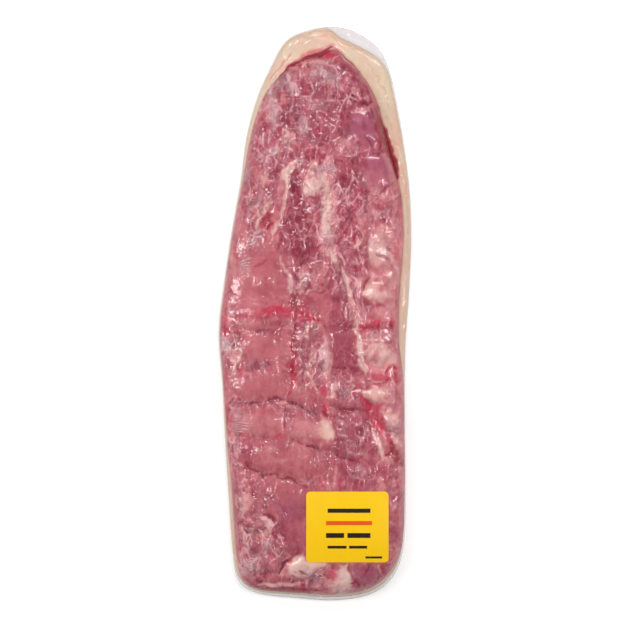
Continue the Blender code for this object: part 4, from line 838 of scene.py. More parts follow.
def drifted():
    """The map's coordinates, moved about a little so that painted edges run as tissue does."""
    return (
        X + 1.5 * cloud(7.0, 11) + 0.7 * cloud(2.8, 12),
        Y + 1.5 * cloud(7.0, 13) + 0.7 * cloud(2.8, 14),
    )


def field_reach(part, x, y, half_width, half_length, turn, across, along):
    """How far each place of the window lies out in a turned ellipse: 1 at its edge."""
    angle = math.radians(turn)
    dx, dy = across[part] - x, along[part] - y
    u = (dx * math.cos(angle) + dy * math.sin(angle)) / half_width
    v = (dy * math.cos(angle) - dx * math.sin(angle)) / half_length
    return np.hypot(u, v)


def wrinkle_maps():
    """Wrinkles over the map: how far the count of wrinkles has got at each place, and how deep they are."""
    count, depth = np.zeros(X.shape), np.zeros(X.shape)
    wander, ragged = 0.3 * cloud(9.0, 83), 0.5 * cloud(3.0, 96)

    def lay(part, phase, deep):
        deeper = deep > depth[part]
        count[part] = np.where(deeper, phase + wander[part], count[part])
        depth[part] = np.maximum(depth[part], deep)

    for x, y, half_width, half_length, turn, pitch, rise in PLEATS:
        reach = 1.3 * max(half_width, half_length) + 2
        part = window((x - reach, y - reach), (x + reach, y + reach))
        out = field_reach(part, x, y, half_width, half_length, 0, X, Y)
        angle = math.radians(turn)
        phase = ((Y[part] - y) * math.cos(angle) - (X[part] - x) * math.sin(angle)) / pitch
        lay(part, phase, 2.6 * rise * smooth_step((1.2 + 0.5 * ragged[part] - out) / 0.5))
    for strength, x, y, near, far, start, end, number in FANS:
        part = window((x - far, y - far), (x + far, y + far))
        out = np.hypot(X[part] - x, Y[part] - y)
        middle, half = math.radians(start + end) / 2, math.radians(end - start) / 2
        turn = np.arctan2(Y[part] - y, X[part] - x) - middle
        turn = (turn + math.pi) % (2 * math.pi) - math.pi
        inside = smooth_step((out - near) / 1.5)
        inside *= smooth_step((far - out) / (0.5 * (far - near)) + ragged[part])
        inside *= smooth_step((half - np.abs(turn)) / 0.2 + 0.4)
        lay(part, turn * number / (2 * half), strength * inside)
    return count, depth


def paint(colour, height, fields, lines, tissues, places):
    """Paints fields and then lines into the maps of colour and height."""
    across, along = places
    ragged = 0.35 * cloud(4.0, 21) + 0.2 * cloud(1.7, 22)
    for tissue, cover, x, y, half_width, half_length, turn, rise in fields:
        reach = 1.5 * max(half_width, half_length) + 3
        part = window((x - reach, y - reach), (x + reach, y + reach))
        out = field_reach(part, x, y, half_width, half_length, turn, across, along)
        share = cover * smooth_step((1.3 + ragged[part] - out) / 0.7)
        colour[part] += share[..., None] * (tissues[tissue] - colour[part])
        height[part] += rise * np.clip(1 - out**2, 0, 1) ** 0.8
    for tissue, cover, width, rise, route in lines:
        line = spline(route)
        part = window(line.min(axis=0) - width - 4, line.max(axis=0) + width + 4)
        away, share = nearest_on(line, across[part], along[part])
        half = 0.58 * width * (1 - 0.55 * np.abs(2 * share - 1) ** 3) * (1 + 0.6 * ragged[part])
        spread = cover * smooth_step((1.35 - away / half) / 0.8)
        colour[part] += spread[..., None] * (tissues[tissue] - colour[part])
        height[part] += rise * np.exp(-((away / (half + 0.4)) ** 2))


def bone_side(meat_top):
    """Height of the bone side over the map, in millimetres: general form, lobes and grooves."""
    general = meat_top * np.interp(MAP_Y, *zip(*ALONG))[:, None] + np.interp(MAP_X, *zip(*ACROSS))[None]
    across, along = X + 0.8 * cloud(9.0, 31), Y + 0.8 * cloud(9.0, 32)
    rise = np.zeros(X.shape)
    for height, x, y, half_width, half_length, turn in LOBES:
        reach = 1.2 * max(half_width, half_length) + 3
        part = window((x - reach, y - reach), (x + reach, y + reach))
        out = field_reach(part, x, y, half_width, half_length, turn, across, along)
        rise[part] = np.maximum(rise[part], height * np.clip(1 - out**2, 0, 1) ** 0.7)
    cut = np.zeros(X.shape)
    for depth, width, route in GROOVES:
        line = spline(route)
        part = window(line.min(axis=0) - 3 * width, line.max(axis=0) + 3 * width)
        away, share = nearest_on(line, across[part], along[part])
        cut[part] = np.maximum(cut[part], 0.55 * depth * np.exp(-((away / width) ** 2)))
    lumps = 0.4 * cloud(10.0, 33, 1.3, 20) + 0.16 * cloud(4.5, 34) + 0.06 * cloud(2.2, 35)
    return general + blurred(rise - cut, 0.8) + lumps


@functools.lru_cache(maxsize=1)
def rack_maps(meat_top, fat_layer, seam_height, label_ground, tissue_colours):
    """Heights and colours over the map, in millimetres and gamma colour: a dictionary of fields."""
    tissues = {name: np.array(value) for name, value in tissue_colours}
    places = drifted()
    fat_depth, meat_depth = depth_inside(FAT), depth_inside(MEAT)

    low, high = (in_plan(np.array(corner)[:2]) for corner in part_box("label"))
    beyond_x = np.maximum(low[0] - X, X - high[0]) - 1.0
    beyond_y = np.maximum(low[1] - Y, Y - high[1]) - 1.0
    ground = 1 - smooth_step(np.hypot(np.clip(beyond_x, 0, None), np.clip(beyond_y, 0, None)) / 7.0)

    meat_colour = np.zeros(X.shape + (3,)) + tissues["membrane"]
    blend(meat_colour, tissues["rosy"], 0.45 * smooth_step(0.5 + cloud(14.0, 41, 1.4)))
    blend(meat_colour, tissues["lean"], 0.45 * smooth_step(cloud(11.0, 42)))
    height = bone_side(meat_top)
    paint(meat_colour, height, FIELDS, LINES, tissues, places)
    restless = restlessness()
    mottle(meat_colour, tissues, restless)
    wrinkle_count, wrinkle_depth = wrinkle_maps()

    # Painted shade and painted light: hollows of the relief are darkened towards the blood colour, and
    # crests are lightened towards pale pink.
    relief_for_painted_light = height - blurred(height, 3.2)
    blend(meat_colour, tissues["blood"], 0.45 * smooth_step(-relief_for_painted_light / 2.2 - 0.15))
    blend(meat_colour, tissues["pink"], 0.22 * smooth_step(relief_for_painted_light / 1.2))

    fat_colour = np.zeros(X.shape + (3,)) + tissues["fat"]
    fat_height = seam_height + (fat_layer - seam_height) * quarter_round(fat_depth, 8.0)
    fat_relief = 0.35 * cloud(8.0, 51) + 0.15 * cloud(3.0, 52)
    paint(fat_colour, fat_relief, FAT_FIELDS, FAT_LINES, tissues, places)
    blend(fat_colour, tissues["peach"], 0.30 * smooth_step(cloud(10.0, 53, 2.0)))
    fat_height = fat_height + fat_relief * smooth_step(fat_depth / 3.0)

    meat = np.maximum(quarter_round(meat_depth, 14.0), ground * (meat_depth > 0))
    top = height * (1 - ground) + (label_ground - 0.3) * ground
    meat_height = fat_height + (top - fat_height) * meat
    under = np.where(meat_depth > 0, np.clip(meat_depth / 4.0, 0, 1), 0)
    return {
        "fat_depth": fat_depth, "meat_depth": meat_depth, "ground": ground, "meat_height": meat_height,
        "fat_height": fat_height,
        "fat_top": fat_height * (1 - under) + 6.5 * under - 0.4 * (meat_depth > 0),
        "meat_colour": meat_colour, "fat_colour": fat_colour, "restless": restless,
        "wrinkle_count": wrinkle_count, "wrinkle_depth": wrinkle_depth,
    }


def blend(colour, other, share):
    """Moves a colour field towards one colour by a share from 0 to 1."""
    colour += np.clip(share, 0, 1)[..., None] * (other - colour)


def restlessness():
    """How restless film and tissue are over the map, from 0 to 1."""
    ragged = 0.3 * cloud(6.0, 91) + 0.2 * cloud(3.0, 92)
    amount = np.full(X.shape, RESTLESS_GROUND)
    for table, most in ((RESTLESS, True), (CALM, False)):
        for share, x, y, half_width, half_length, turn in table:
            reach = 1.6 * max(half_width, half_length) + 3
            part = window((x - reach, y - reach), (x + reach, y + reach))
            out = field_reach(part, x, y, half_width, half_length, turn, X, Y)
            here = smooth_step((1.3 + ragged[part] - out) / 0.6)
            if most:
                amount[part] = np.maximum(amount[part], share * here)
            else:
                amount[part] *= 1 - share * here
    return amount


def mottle(colour, tissues, restless):
    """Fine streaks, flecks and threads of pale and dark tissue, the stronger the more restless it is."""
    streaks = cloud(1.8, 61, 3.0, 70) + 0.7 * cloud(1.1, 62, 2.0, 100)
    colour *= (1 + (0.02 + 0.05 * restless) * streaks + 0.03 * cloud(3.4, 63))[..., None]
    dark = cloud(4.2, 72, 1.4, 40) + 0.7 * cloud(1.9, 73)
    blend(colour, tissues["deep"], 0.70 * restless * smooth_step((dark - 0.25) / 0.7))
    flecks = cloud(2.6, 64, 2.2, 60) + 0.6 * cloud(1.3, 65)
    blend(colour, tissues["pink"], 0.6 * restless * smooth_step((flecks - 0.45) / 0.6))
    spots = cloud(3.0, 66) + 0.6 * cloud(1.5, 67)
    blend(colour, tissues["smear"], (0.15 + 0.4 * restless) * smooth_step((spots - 0.6) / 0.5))
    for seed, turn, tissue, share in ((68, 30, "pink", 0.6), (70, -50, "deep", 0.6), (74, -20, "pink", 0.5),
                                      (76, 75, "mauve", 0.45)):
        thread = np.abs(cloud(7.0, seed, 1.5, turn) + 0.4 * cloud(2.2, seed + 1))
        blend(colour, tissues[tissue], share * restless * smooth_step((0.09 - thread) / 0.07))


def film_maps(maps, seam_height, gap, tightness):
    """The film over the map: its height, how whitish and crumpled it is, and its pleats."""
    filled = np.maximum(maps["meat_height"], maps["fat_height"])
    carried = np.where(maps["fat_depth"] > 0, filled, seam_height)
    spanned = blurred(swollen(carried, 2), 1.3)
    height = np.maximum(spanned, blurred(carried, 0.5)) + gap
    folds = np.zeros(X.shape)
    across, along = X + 0.6 * cloud(5.0, 81), Y + 0.6 * cloud(5.0, 82)
    rng = np.random.default_rng(84)
    lie = 0.2 + 1.3 * cloud(34.0, 89)
    creases = []
    for _ in range(CREASES):
        x, y = rng.uniform(-78, 80), rng.uniform(-240, 240)
        here = np.array([[x, y]])
        if rng.uniform(0, 1) > sampled(maps["restless"], here)[0] ** 1.5:
            continue
        turn = sampled(lie, here)[0] + rng.normal(0, 0.45)
        length = rng.uniform(0.25, 1.0) * CREASE_LENGTH / 2
        bow = rng.normal(0, 0.18) * length
        dx, dy = math.cos(turn), math.sin(turn)
        ahead, aside = np.array([dx, dy]) * length, np.array([-dy, dx]) * bow
        route = [(x, y) - ahead, (x, y) + aside, (x, y) + ahead]
        creases.append((rng.uniform(0.9, 1.5), rng.uniform(0.3, 1.0) * CREASE_RISE, route))
    for width, rise, route in FOLDS + creases:
        line = spline(route, steps=3)
        part = window(line.min(axis=0) - 4, line.max(axis=0) + 4)
        away, share = nearest_on(line, across[part], along[part])
        folds[part] += rise * np.exp(-((away / (0.55 * width)) ** 2)) * (1 - np.abs(2 * share - 1) ** 4)
    folds += 0.05 * cloud(6.0, 85, 2.0, 30)
    bare = 1 - maps["ground"] * 0.97
    height += tightness * folds * smooth_step(maps["fat_depth"] / 2.0 + 0.3) * bare
    veil = np.zeros(X.shape)
    ragged = 0.45 * cloud(5.0, 87) + 0.25 * cloud(2.5, 88)
    for amount, x, y, half_width, half_length, turn in VEILS:
        reach = 1.6 * max(half_width, half_length) + 3
        part = window((x - reach, y - reach), (x + reach, y + reach))
        out = field_reach(part, x, y, half_width, half_length, turn, across, along)
        veil[part] = np.maximum(veil[part], 0.5 * amount * smooth_step((1.25 + ragged[part] - out) / 1.1))
    skirt = 0.45 * smooth_step(-maps["fat_depth"] / 1.5 + 0.2)
    veil = np.maximum(veil, skirt)
    return {
        "height": height, "veil": veil * bare, "crumpled": (0.04 + 1.1 * maps["restless"]) * bare,
        "pleat": maps["wrinkle_count"], "pleated": maps["wrinkle_depth"] * bare,
    }


# --- From the plan to the CAD's box --------------------------------------------------------------------
def placing():
    """Metres per plan millimetre, the plan's middle and the middle of the CAD's box."""
    low, high = (np.array(corner)[:2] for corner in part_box("sealed_bag"))
    loop, _ = outline(BAG)
    least, most = loop.min(axis=0), loop.max(axis=0)
    return (high - low) / (most - least), (least + most) / 2, (low + high) / 2


def in_place(plan):
    scale, plan_middle, box_middle = placing()
    return (plan - plan_middle) * scale + box_middle


def in_plan(place):
    scale, plan_middle, box_middle = placing()
    return (np.asarray(place) - box_middle) / scale + plan_middle


def sampled(field, points):
    """The map's value at each plan point, between its steps."""
    column = np.clip((points[:, 0] - MAP_X[0]) / STEP, 0, len(MAP_X) - 1.001)
    row = np.clip((points[:, 1] - MAP_Y[0]) / STEP, 0, len(MAP_Y) - 1.001)
    i, j = row.astype(int), column.astype(int)
    down, right = row - i, column - j
    if field.ndim == 3:
        down, right = down[:, None], right[:, None]
    near = field[i, j] * (1 - right) + field[i, j + 1] * right
    far = field[i + 1, j] * (1 - right) + field[i + 1, j + 1] * right
    return near * (1 - down) + far * down


# --- Modelling -----------------------------------------------------------------------------------------
def deselect_all():
    bpy.ops.object.select_all(action="DESELECT")


def positions(mesh):
    co = np.empty(len(mesh.vertices) * 3, np.float32)
    mesh.vertices.foreach_get("co", co)
    return co.reshape(-1, 3).astype(float)


def set_positions(mesh, co):
    mesh.vertices.foreach_set("co", co.astype(np.float32).ravel())
    mesh.update()


def rim_of(plan):
    """The grid's outer points, once round, anticlockwise seen from above, and the way inwards at each."""
    rows, columns = plan.shape[:2]
    grid = np.arange(rows * columns).reshape(rows, columns)
    ring = [*grid[0, :-1], *grid[:-1, -1], *grid[-1, :0:-1], *grid[:0:-1, 0]]
    rim = plan.reshape(-1, 2)[ring]
    tangent = np.roll(rim, -3, axis=0) - np.roll(rim, 3, axis=0)
    return rim, np.column_stack([-tangent[:, 1], tangent[:, 0]]) / np.linalg.norm(tangent, axis=1)[:, None]


def rounded_walls(seam, bottom):
    """Steps down the rounded side of a piece: how far in from its edge, and how high above the floor."""
    quarter = np.radians((30, 62, 90))
    return [(8.0 * (1 - math.cos(t)), bottom + (seam - 0.6) * (1 - math.sin(t))) for t in quarter]


def grid_piece(name, edges, rows, columns, height, walls, within=None):
    """A closed piece: a grid over the outline at the map's height, its rim led down and filled.

    Each wall is how far in and how high its lower rim lies, in millimetres. With within, the
    insets are counted from that outline's edge.
    """
    plan = patch_in(edges, rows, columns)
    deselect_all()
    bpy.ops.mesh.primitive_grid_add(x_subdivisions=columns, y_subdivisions=rows, size=1.0)
    piece = bpy.context.active_object
    piece.name = piece.data.name = name
    mesh = piece.data
    co = positions(mesh)
    i = np.rint((co[:, 1] + 0.5) * rows).astype(int)
    j = np.rint((co[:, 0] + 0.5) * columns).astype(int)
    flat = plan[i, j]
    set_positions(mesh, np.column_stack([flat, sampled(height, flat)]))

    rim, inward = rim_of(plan)
    margin = np.zeros(len(rim))
    if within is not None:
        loop, _ = outline(within)
        margin = nearest_on(np.vstack([loop, loop[:1]]), rim[:, 0], rim[:, 1])[0]
    ring = rim
    for inset, wall_height in walls:
        bpy.ops.object.mode_set(mode="EDIT")
        bpy.ops.mesh.select_mode(type="EDGE")
        bpy.ops.mesh.select_all(action="DESELECT")
        bpy.ops.mesh.select_non_manifold(extend=False, use_wire=False, use_multi_face=False,
                                         use_non_contiguous=False, use_verts=False)
        bpy.ops.mesh.extrude_edges_move()
        bpy.ops.object.mode_set(mode="OBJECT")
        chosen = np.zeros(len(mesh.vertices), bool)
        mesh.vertices.foreach_get("select", chosen)
        co = positions(mesh)
        where = {(round(x, 3), round(y, 3)): k for k, (x, y) in enumerate(ring.astype(np.float32).tolist())}
        order = [where[(round(x, 3), round(y, 3))] for x, y in co[chosen, :2].tolist()]
        ring = rim + inward * (margin + inset)[:, None]
        co[chosen] = np.column_stack([ring, np.full(len(ring), wall_height)])[order]
        set_positions(mesh, co)
    bpy.ops.object.mode_set(mode="EDIT")
    bpy.ops.mesh.select_mode(type="EDGE")
    bpy.ops.mesh.select_all(action="DESELECT")
    bpy.ops.mesh.select_non_manifold(extend=False, use_wire=False, use_multi_face=False,
                                     use_non_contiguous=False, use_verts=False)
    bpy.ops.mesh.edge_face_add()
    bpy.ops.mesh.select_all(action="SELECT")
    bpy.ops.mesh.normals_make_consistent(inside=False)
    bpy.ops.object.mode_set(mode="OBJECT")
    bpy.ops.object.shade_smooth()
    co = positions(mesh)
    plan_points = co[:, :2].copy()
    set_positions(mesh, np.column_stack([in_place(plan_points), co[:, 2] * MM]))
    return piece, plan_points


def without_gamma(gamma):
    return np.where(gamma <= 0.04045, gamma / 12.92, ((gamma + 0.055) / 1.055) ** 2.4)


def store_colour(mesh, name, gamma):
    """A colour per point, from gamma values."""
    rows = np.column_stack([without_gamma(np.clip(gamma, 0, 1)), np.ones(len(gamma))])
    stored = mesh.attributes.new(name, "FLOAT_COLOR", "POINT")
    stored.data.foreach_set("color", rows.astype(np.float32).ravel())


def store_value(mesh, name, value):
    stored = mesh.attributes.new(name, "FLOAT", "POINT")
    stored.data.foreach_set("value", value.astype(np.float32))


def linear(colour):
    """A gamma colour as the linear one, with alpha, that a shader takes."""
    return (*without_gamma(np.array(colour[:3])).tolist(), 1.0)


# --- Finishes ------------------------------------------------------------------------------------------
def node(tree, kind, inputs=None, **settings):
    """A new node with its settings, and each input given a value or linked to a socket."""
    made = tree.nodes.new(kind)
    for key, value in settings.items():
        setattr(made, key, value)
    for key, value in (inputs or {}).items():
        if isinstance(value, bpy.types.NodeSocket):
            tree.links.new(value, made.inputs[key])
        else:
            made.inputs[key].default_value = value
    return made


def new_material(name):
    """A material with only its output node, its tree and that output."""
    material = bpy.data.materials.new(name)
    material.use_nodes = True
    tree = material.node_tree
    tree.nodes.clear()
    return material, tree, tree.nodes.new("ShaderNodeOutputMaterial")


def attribute(tree, name, output="Fac"):
    """What the mesh stores under that name."""
    return node(tree, "ShaderNodeAttribute", attribute_name=name, attribute_type="GEOMETRY").outputs[output]


def calculated(tree, operation, *values, clamp=False):
    """One sum on sockets or numbers."""
    sums = node(tree, "ShaderNodeMath", dict(enumerate(values)), operation=operation, use_clamp=clamp)
    return sums.outputs[0]


def product(tree, value, *factors, clamp=False):
    """The value times each of the factors."""
    for factor in factors:
        value = calculated(tree, "MULTIPLY", value, factor, clamp=clamp)
    return value


def spread(tree, value, start, end, low=0.0, high=1.0):
    """The value from start to end spread from low to high, and held there beyond."""
    ends = {"Value": value, "From Min": start, "From Max": end, "To Min": low, "To Max": high}
    return node(tree, "ShaderNodeMapRange", ends).outputs[0]


def noise_texture(tree, place, scale, detail):
    return node(tree, "ShaderNodeTexNoise", {"Vector": place, "Scale": scale, "Detail": detail}).outputs


def laid(tree, stretch, turn, drift=None):
    """The piece's own coordinates, turned and stretched, after wandering a little if that is asked for."""
    place = node(tree, "ShaderNodeTexCoord").outputs["Object"]
    if drift:
        scale, detail, amount = drift
        wander = noise_texture(tree, place, scale, detail)["Color"]
        wander = node(tree, "ShaderNodeVectorMath", {0: wander, 1: amount}, operation="MULTIPLY").outputs[0]
        place = node(tree, "ShaderNodeVectorMath", {0: place, 1: wander}, operation="ADD").outputs[0]
    turned = {"Vector": place, "Rotation": (0, 0, turn), "Scale": stretch}
    return node(tree, "ShaderNodeMapping", turned).outputs[0]


def bumps(tree, height, strength, distance):
    """The normals of a relief with that height."""
    relief = {"Height": height, "Strength": strength, "Distance": distance}
    return node(tree, "ShaderNodeBump", relief).outputs[0]


def noise(tree, scale, detail, low, high, stretch=(1, 1, 1), turn=0.0):
    """Noise on the piece's own coordinates, spread from low to high."""
    uneven = noise_texture(tree, laid(tree, stretch, turn), scale, detail)["Fac"]
    return spread(tree, uneven, 0.3, 0.7, low, high)


def strands(tree, scale, turn):
    """Thin crossing threads, 1 along a thread and 0 beside it, drawn out one way."""
    drawn_out = noise_texture(tree, laid(tree, (1, 0.42, 0.2), turn), scale, 1.5)["Fac"]
    away = calculated(tree, "ABSOLUTE", calculated(tree, "SUBTRACT", drawn_out, 0.5))
    return spread(tree, away, 0.008, 0.035, 1.0, 0.0)


def wrinkle_wave(tree, count):
    """A wave from -1 to 1 that rises once for each wrinkle counted, a little uneven."""
    turn = calculated(tree, "ADD", count, noise(tree, 170, 2, -0.5, 0.5))
    return calculated(tree, "SINE", calculated(tree, "MULTIPLY", turn, 2 * math.pi))


def crumple(tree, scale, width):
    """Fine crossing creases, 1 on a crease and 0 beside it, that run straight for a few millimetres."""
    flat = laid(tree, (1, 0.62, 0.05), 0.6, drift=(120, 1, (0.004, 0.004, 0.004)))
    cells = node(tree, "ShaderNodeTexVoronoi", {"Vector": flat, "Scale": scale}, feature="DISTANCE_TO_EDGE")
    return spread(tree, cells.outputs["Distance"], 0.0, width, 1.0, 0.0)


def facets(tree):
    """Chance colour channels that are even over each small sharp-edged facet."""
    flat = laid(tree, (1, 0.5, 0.0), 0.7, drift=(150, 2, (0.006, 0.006, 0)))
    cells = node(tree, "ShaderNodeTexVoronoi", {"Vector": flat, "Scale": 190})
    return node(tree, "ShaderNodeSeparateColor", {"Color": cells.outputs["Color"]}).outputs


def wet_tissue(name, variation, rough, bump):
    """Moist meat or fat: its painted colour, a little uneven, with painted highlights and shade from the
    film's wrinkles, facets and creases, and a soft uneven gloss.
    """
    material, tree, output = new_material(name)
    shade = noise(tree, 260, 2, 1 - variation, 1 + variation, stretch=(1, 0.5, 1), turn=0.3)
    tissue = {"Color": attribute(tree, "tissue", "Color"), "Saturation": 1.04, "Value": shade}
    colour = node(tree, "ShaderNodeHueSaturation", tissue).outputs[0]
    stringy = attribute(tree, "stringy")
    for scale, turn, share, thread_colour in STRANDS:
        part = product(tree, strands(tree, scale, turn), stringy, share)
        colour = mix_colour(tree, part, colour, thread_colour)
    # Painted highlight and painted shade on the light and dark sides of the film's wrinkles.
    wave = wrinkle_wave(tree, attribute(tree, "pleat"))
    depth = attribute(tree, "pleated")
    broken = noise(tree, 260, 2, -0.35, 1.5)
    for low, high, share, wrinkle_light_and_shade in WRINKLE_HIGHLIGHT_AND_SHADE:
        here = product(tree, spread(tree, wave, low, high), broken, depth, share, clamp=True)
        colour = mix_colour(tree, here, colour, wrinkle_light_and_shade)
    # Painted light and shade on the film's small facets.
    cells = facets(tree)
    for channel, start, share, facet_light_and_shade in FACET_LIGHT_AND_SHADE:
        chosen = spread(tree, cells[channel], start, start + 0.3)
        colour = mix_colour(tree, product(tree, chosen, stringy, share), colour, facet_light_and_shade)
    # Painted highlights along the film's coarse creases.
    drawn = noise(tree, 95, 2, -0.9, 1.6)
    creases = product(tree, crumple(tree, *COARSE_CREASES), drawn, stringy, CREASE_HIGHLIGHT_SHARE, clamp=True)
    colour = mix_colour(tree, creases, colour, CREASE_HIGHLIGHT_COLOUR)
    surface = node(tree, "ShaderNodeBsdfPrincipled", {
        "Base Color": colour, "Roughness": noise(tree, 150, 2, rough - 0.07, rough + 0.09), "IOR": 1.4,
        "Normal": bumps(tree, noise(tree, 650, 2, 0.0, 1.0), bump, 0.0003), "Subsurface Weight": 0.08,
        "Subsurface Radius": (1.0, 0.35, 0.25), "Subsurface Scale": 0.0012, "Specular IOR Level": 0.22,
    })
    tree.links.new(surface.outputs[0], output.inputs["Surface"])
    return material


def clear_film():
    """Clear film: what lies under it shows through, with a sharp gloss, whitish where it is slack, that
    white partly a painted highlight.
    """
    material, tree, output = new_material("clear_film")
    veil = attribute(tree, "veil")
    fine = calculated(tree, "MULTIPLY", crumple(tree, *FINE_CREASES), 0.5)
    both = calculated(tree, "ADD", crumple(tree, *COARSE_CREASES), fine)
    creases = calculated(tree, "MULTIPLY", both, attribute(tree, "crumpled"))
    pleats = product(tree, wrinkle_wave(tree, attribute(tree, "pleat")), attribute(tree, "pleated"))
    relief = bumps(tree, calculated(tree, "ADD", creases, pleats), 1.0, 0.0005)
    sheen = node(tree, "ShaderNodeFresnel", {"IOR": 1.5, "Normal": relief}).outputs[0]
    share = calculated(tree, "ADD", spread(tree, sheen, 0.03, 0.5, *FILM_GLOSS), veil, clamp=True)
    surface = node(tree, "ShaderNodeBsdfPrincipled", {
        "Base Color": (0.88, 0.82, 0.83, 1), "Metallic": spread(tree, veil, 0.0, 0.15, 1.0, 0.0),
        "Roughness": noise(tree, 240, 2, 0.10, 0.20), "Normal": relief,
    })
    through = node(tree, "ShaderNodeBsdfTransparent")
    film = node(tree, "ShaderNodeMixShader", {0: share, 1: through.outputs[0], 2: surface.outputs[0]})
    tree.links.new(film.outputs[0], output.inputs["Surface"])
    return material


def printed_label(colours, corner_low, corner_high):
    """Coated yellow paper with plain bars of print, placed by the label's own box."""
    material, tree, output = new_material("label_paper")
    place = node(tree, "ShaderNodeSeparateXYZ", {0: node(tree, "ShaderNodeTexCoord").outputs["Object"]})

    def between(value, low, high):
        """1 between low and high, soft over a tenth of a millimetre."""
        middle, half = (low + high) / 2, (high - low) / 2
        away = calculated(tree, "ABSOLUTE", calculated(tree, "SUBTRACT", value, middle))
        return spread(tree, away, half - 0.00005, half + 0.00005, 1.0, 0.0)

    paper = {"Color": linear(colours.label_yellow), "Value": noise(tree, 90, 2, 0.985, 1.015)}
    colour = node(tree, "ShaderNodeHueSaturation", paper).outputs[0]
    width, length = corner_high[0] - corner_low[0], corner_high[1] - corner_low[1]
    for ink, left, right, low, high in LABEL_PRINT:
        across = between(place.outputs[0], corner_low[0] + left * width, corner_low[0] + right * width)
        along = between(place.outputs[1], corner_low[1] + low * length, corner_low[1] + high * length)
        colour = mix_colour(tree, product(tree, across, along), colour, getattr(colours, ink))
    surface = node(tree, "ShaderNodeBsdfPrincipled", {
        "Base Color": colour, "Roughness": noise(tree, 300, 2, 0.36, 0.46), "Specular IOR Level": 0.2,
        "Normal": bumps(tree, noise(tree, 1500, 1, 0.0, 1.0), 0.05, 0.0001),
    })
    tree.links.new(surface.outputs[0], output.inputs["Surface"])
    return material


def mix_colour(tree, share, colour, ink):
    """The colour, with a gamma-coloured ink over it by a share."""
    mix = tree.nodes.new("ShaderNodeMix")
    mix.data_type = "RGBA"
    tree.links.new(share, mix.inputs[0])
    tree.links.new(colour, mix.inputs[6])
    mix.inputs[7].default_value = linear(ink)
    return mix.outputs[2]


# --- What a user would change --------------------------------------------------------------------------
def tint(name, description, red, green, blue):
    """A gamma colour property from 8-bit values."""
    return FloatVectorProperty(name=name, description=description, subtype="COLOR_GAMMA", size=3, min=0.0,
                               max=1.0, default=(red / 255, green / 255, blue / 255))


def length(name, description, millimetres):
    """A length property, given in millimetres."""
    return FloatProperty(name=name, description=description, unit="LENGTH", default=millimetres * MM,
                         min=0.0, precision=5)


class RackSizes(bpy.types.PropertyGroup):
    """Sizes of the rack and its packing."""
    meat_top: length("Meat height", "General height of the bone side above the table", 29.0)
    fat_layer: length("Fat height", "Height of the fat layer's shoulder round the meat", 11.5)
    seam_height: length("Seam height", "Where upper and lower film meet, at the widest line", 4.5)
    film_gap: length("Film gap", "How far the film lies off the meat", 0.12)
    tightness: FloatProperty(name="Wrinkles", description="How strongly the film's wrinkles stand up",
                             subtype="FACTOR", default=1.0, min=0.0, max=2.0)


class TissueColours(bpy.types.PropertyGroup):
    """Colours of meat, bone, fat and blood, and of the highlights and shade painted into them."""
    membrane: tint("Membrane", "The skin over the ribs", 184, 98, 106)
    rosy: tint("Pale membrane", "The same skin where fat shows through", 206, 124, 130)
    pink: tint("Pale pink", "Thin fat over meat", 228, 166, 164)
    bone: tint("Bone", "Knuckles of the backbone", 226, 172, 164)
    cream: tint("Fat strand", "Strands of fat between muscles", 232, 196, 184)
    grey: tint("Grey fat", "Thin webs of fat and sinew", 212, 174, 164)
    fat: tint("Fat layer", "The thick layer under the meat", 222, 199, 175)
    peach: tint("Peach fat", "The fat layer where meat tints it", 228, 176, 158)
    tan: tint("Brown fat", "Folds and dried edges of the fat", 206, 150, 118)
    lean: tint("Lean meat", "Muscle", 156, 62, 80)
    # Where the deep colour is laid in hollows and seams it is painted shade; in the mottle it is the
    # muscle's own darker tone.
    deep: tint("Deep meat", "Muscle in the hollows", 134, 34, 56)
    plum: tint("Plum meat", "Darker, bluish muscle", 160, 78, 104)
    mauve: tint("Dark mauve", "Shaded muscle", 120, 34, 56)
    smear: tint("Blood smear", "Fresh blood spread thin", 196, 46, 72)
    blood: tint("Blood", "Blood in the seams", 140, 8, 30)
    # Painted shade: the dark crimson laid along the bottoms of the grooves and seams.
    crevice_shade: tint("Crevice", "The bottom of the grooves", 104, 14, 34)
    # Painted highlight: pale streaks where drawn film whitens and catches the light.
    frost_highlight: tint("Frost", "Drawn film that catches the light", 244, 220, 222)
    coral: tint("Coral", "Blood over fat", 212, 96, 106)
    # Partly painted: tissue made paler where slack film over it whitens, with the sheen it catches painted
    # in.
    slack: tint("Veiled", "Tissue under crumpled film", 222, 186, 186)


class LabelColours(bpy.types.PropertyGroup):
    """Colours of the label and its print."""
    label_yellow: tint("Label", "The label's paper", 246, 196, 10)
    ink: tint("Ink", "The dark bars", 38, 24, 20)
    orange: tint("Orange", "The bar between them", 226, 84, 30)


# The print: ink, and its left, right, lower and upper edge as shares of the label.
LABEL_PRINT = [
    ("ink", 0.26, 0.78, 0.70, 0.76),
    ("orange", 0.24, 0.80, 0.525, 0.585),
    ("ink", 0.24, 0.46, 0.345, 0.415),
    ("ink", 0.50, 0.78, 0.345, 0.415),
    ("ink", 0.26, 0.49, 0.195, 0.235),
    ("ink", 0.52, 0.74, 0.195, 0.235),
    ("ink", 0.72, 0.92, 0.055, 0.085),
]


def tissue_table(colours):
    return tuple((name, tuple(getattr(colours, name))) for name in TissueColours.__annotations__)


def maps_for(scene):
    """The rack's maps for the scene's sizes and colours."""
    sizes = scene.rack_sizes
    label_low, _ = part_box("label")
    return rack_maps(sizes.meat_top / MM, sizes.fat_layer / MM, sizes.seam_height / MM, label_low.z / MM,
                     tissue_table(scene.tissue_colours))


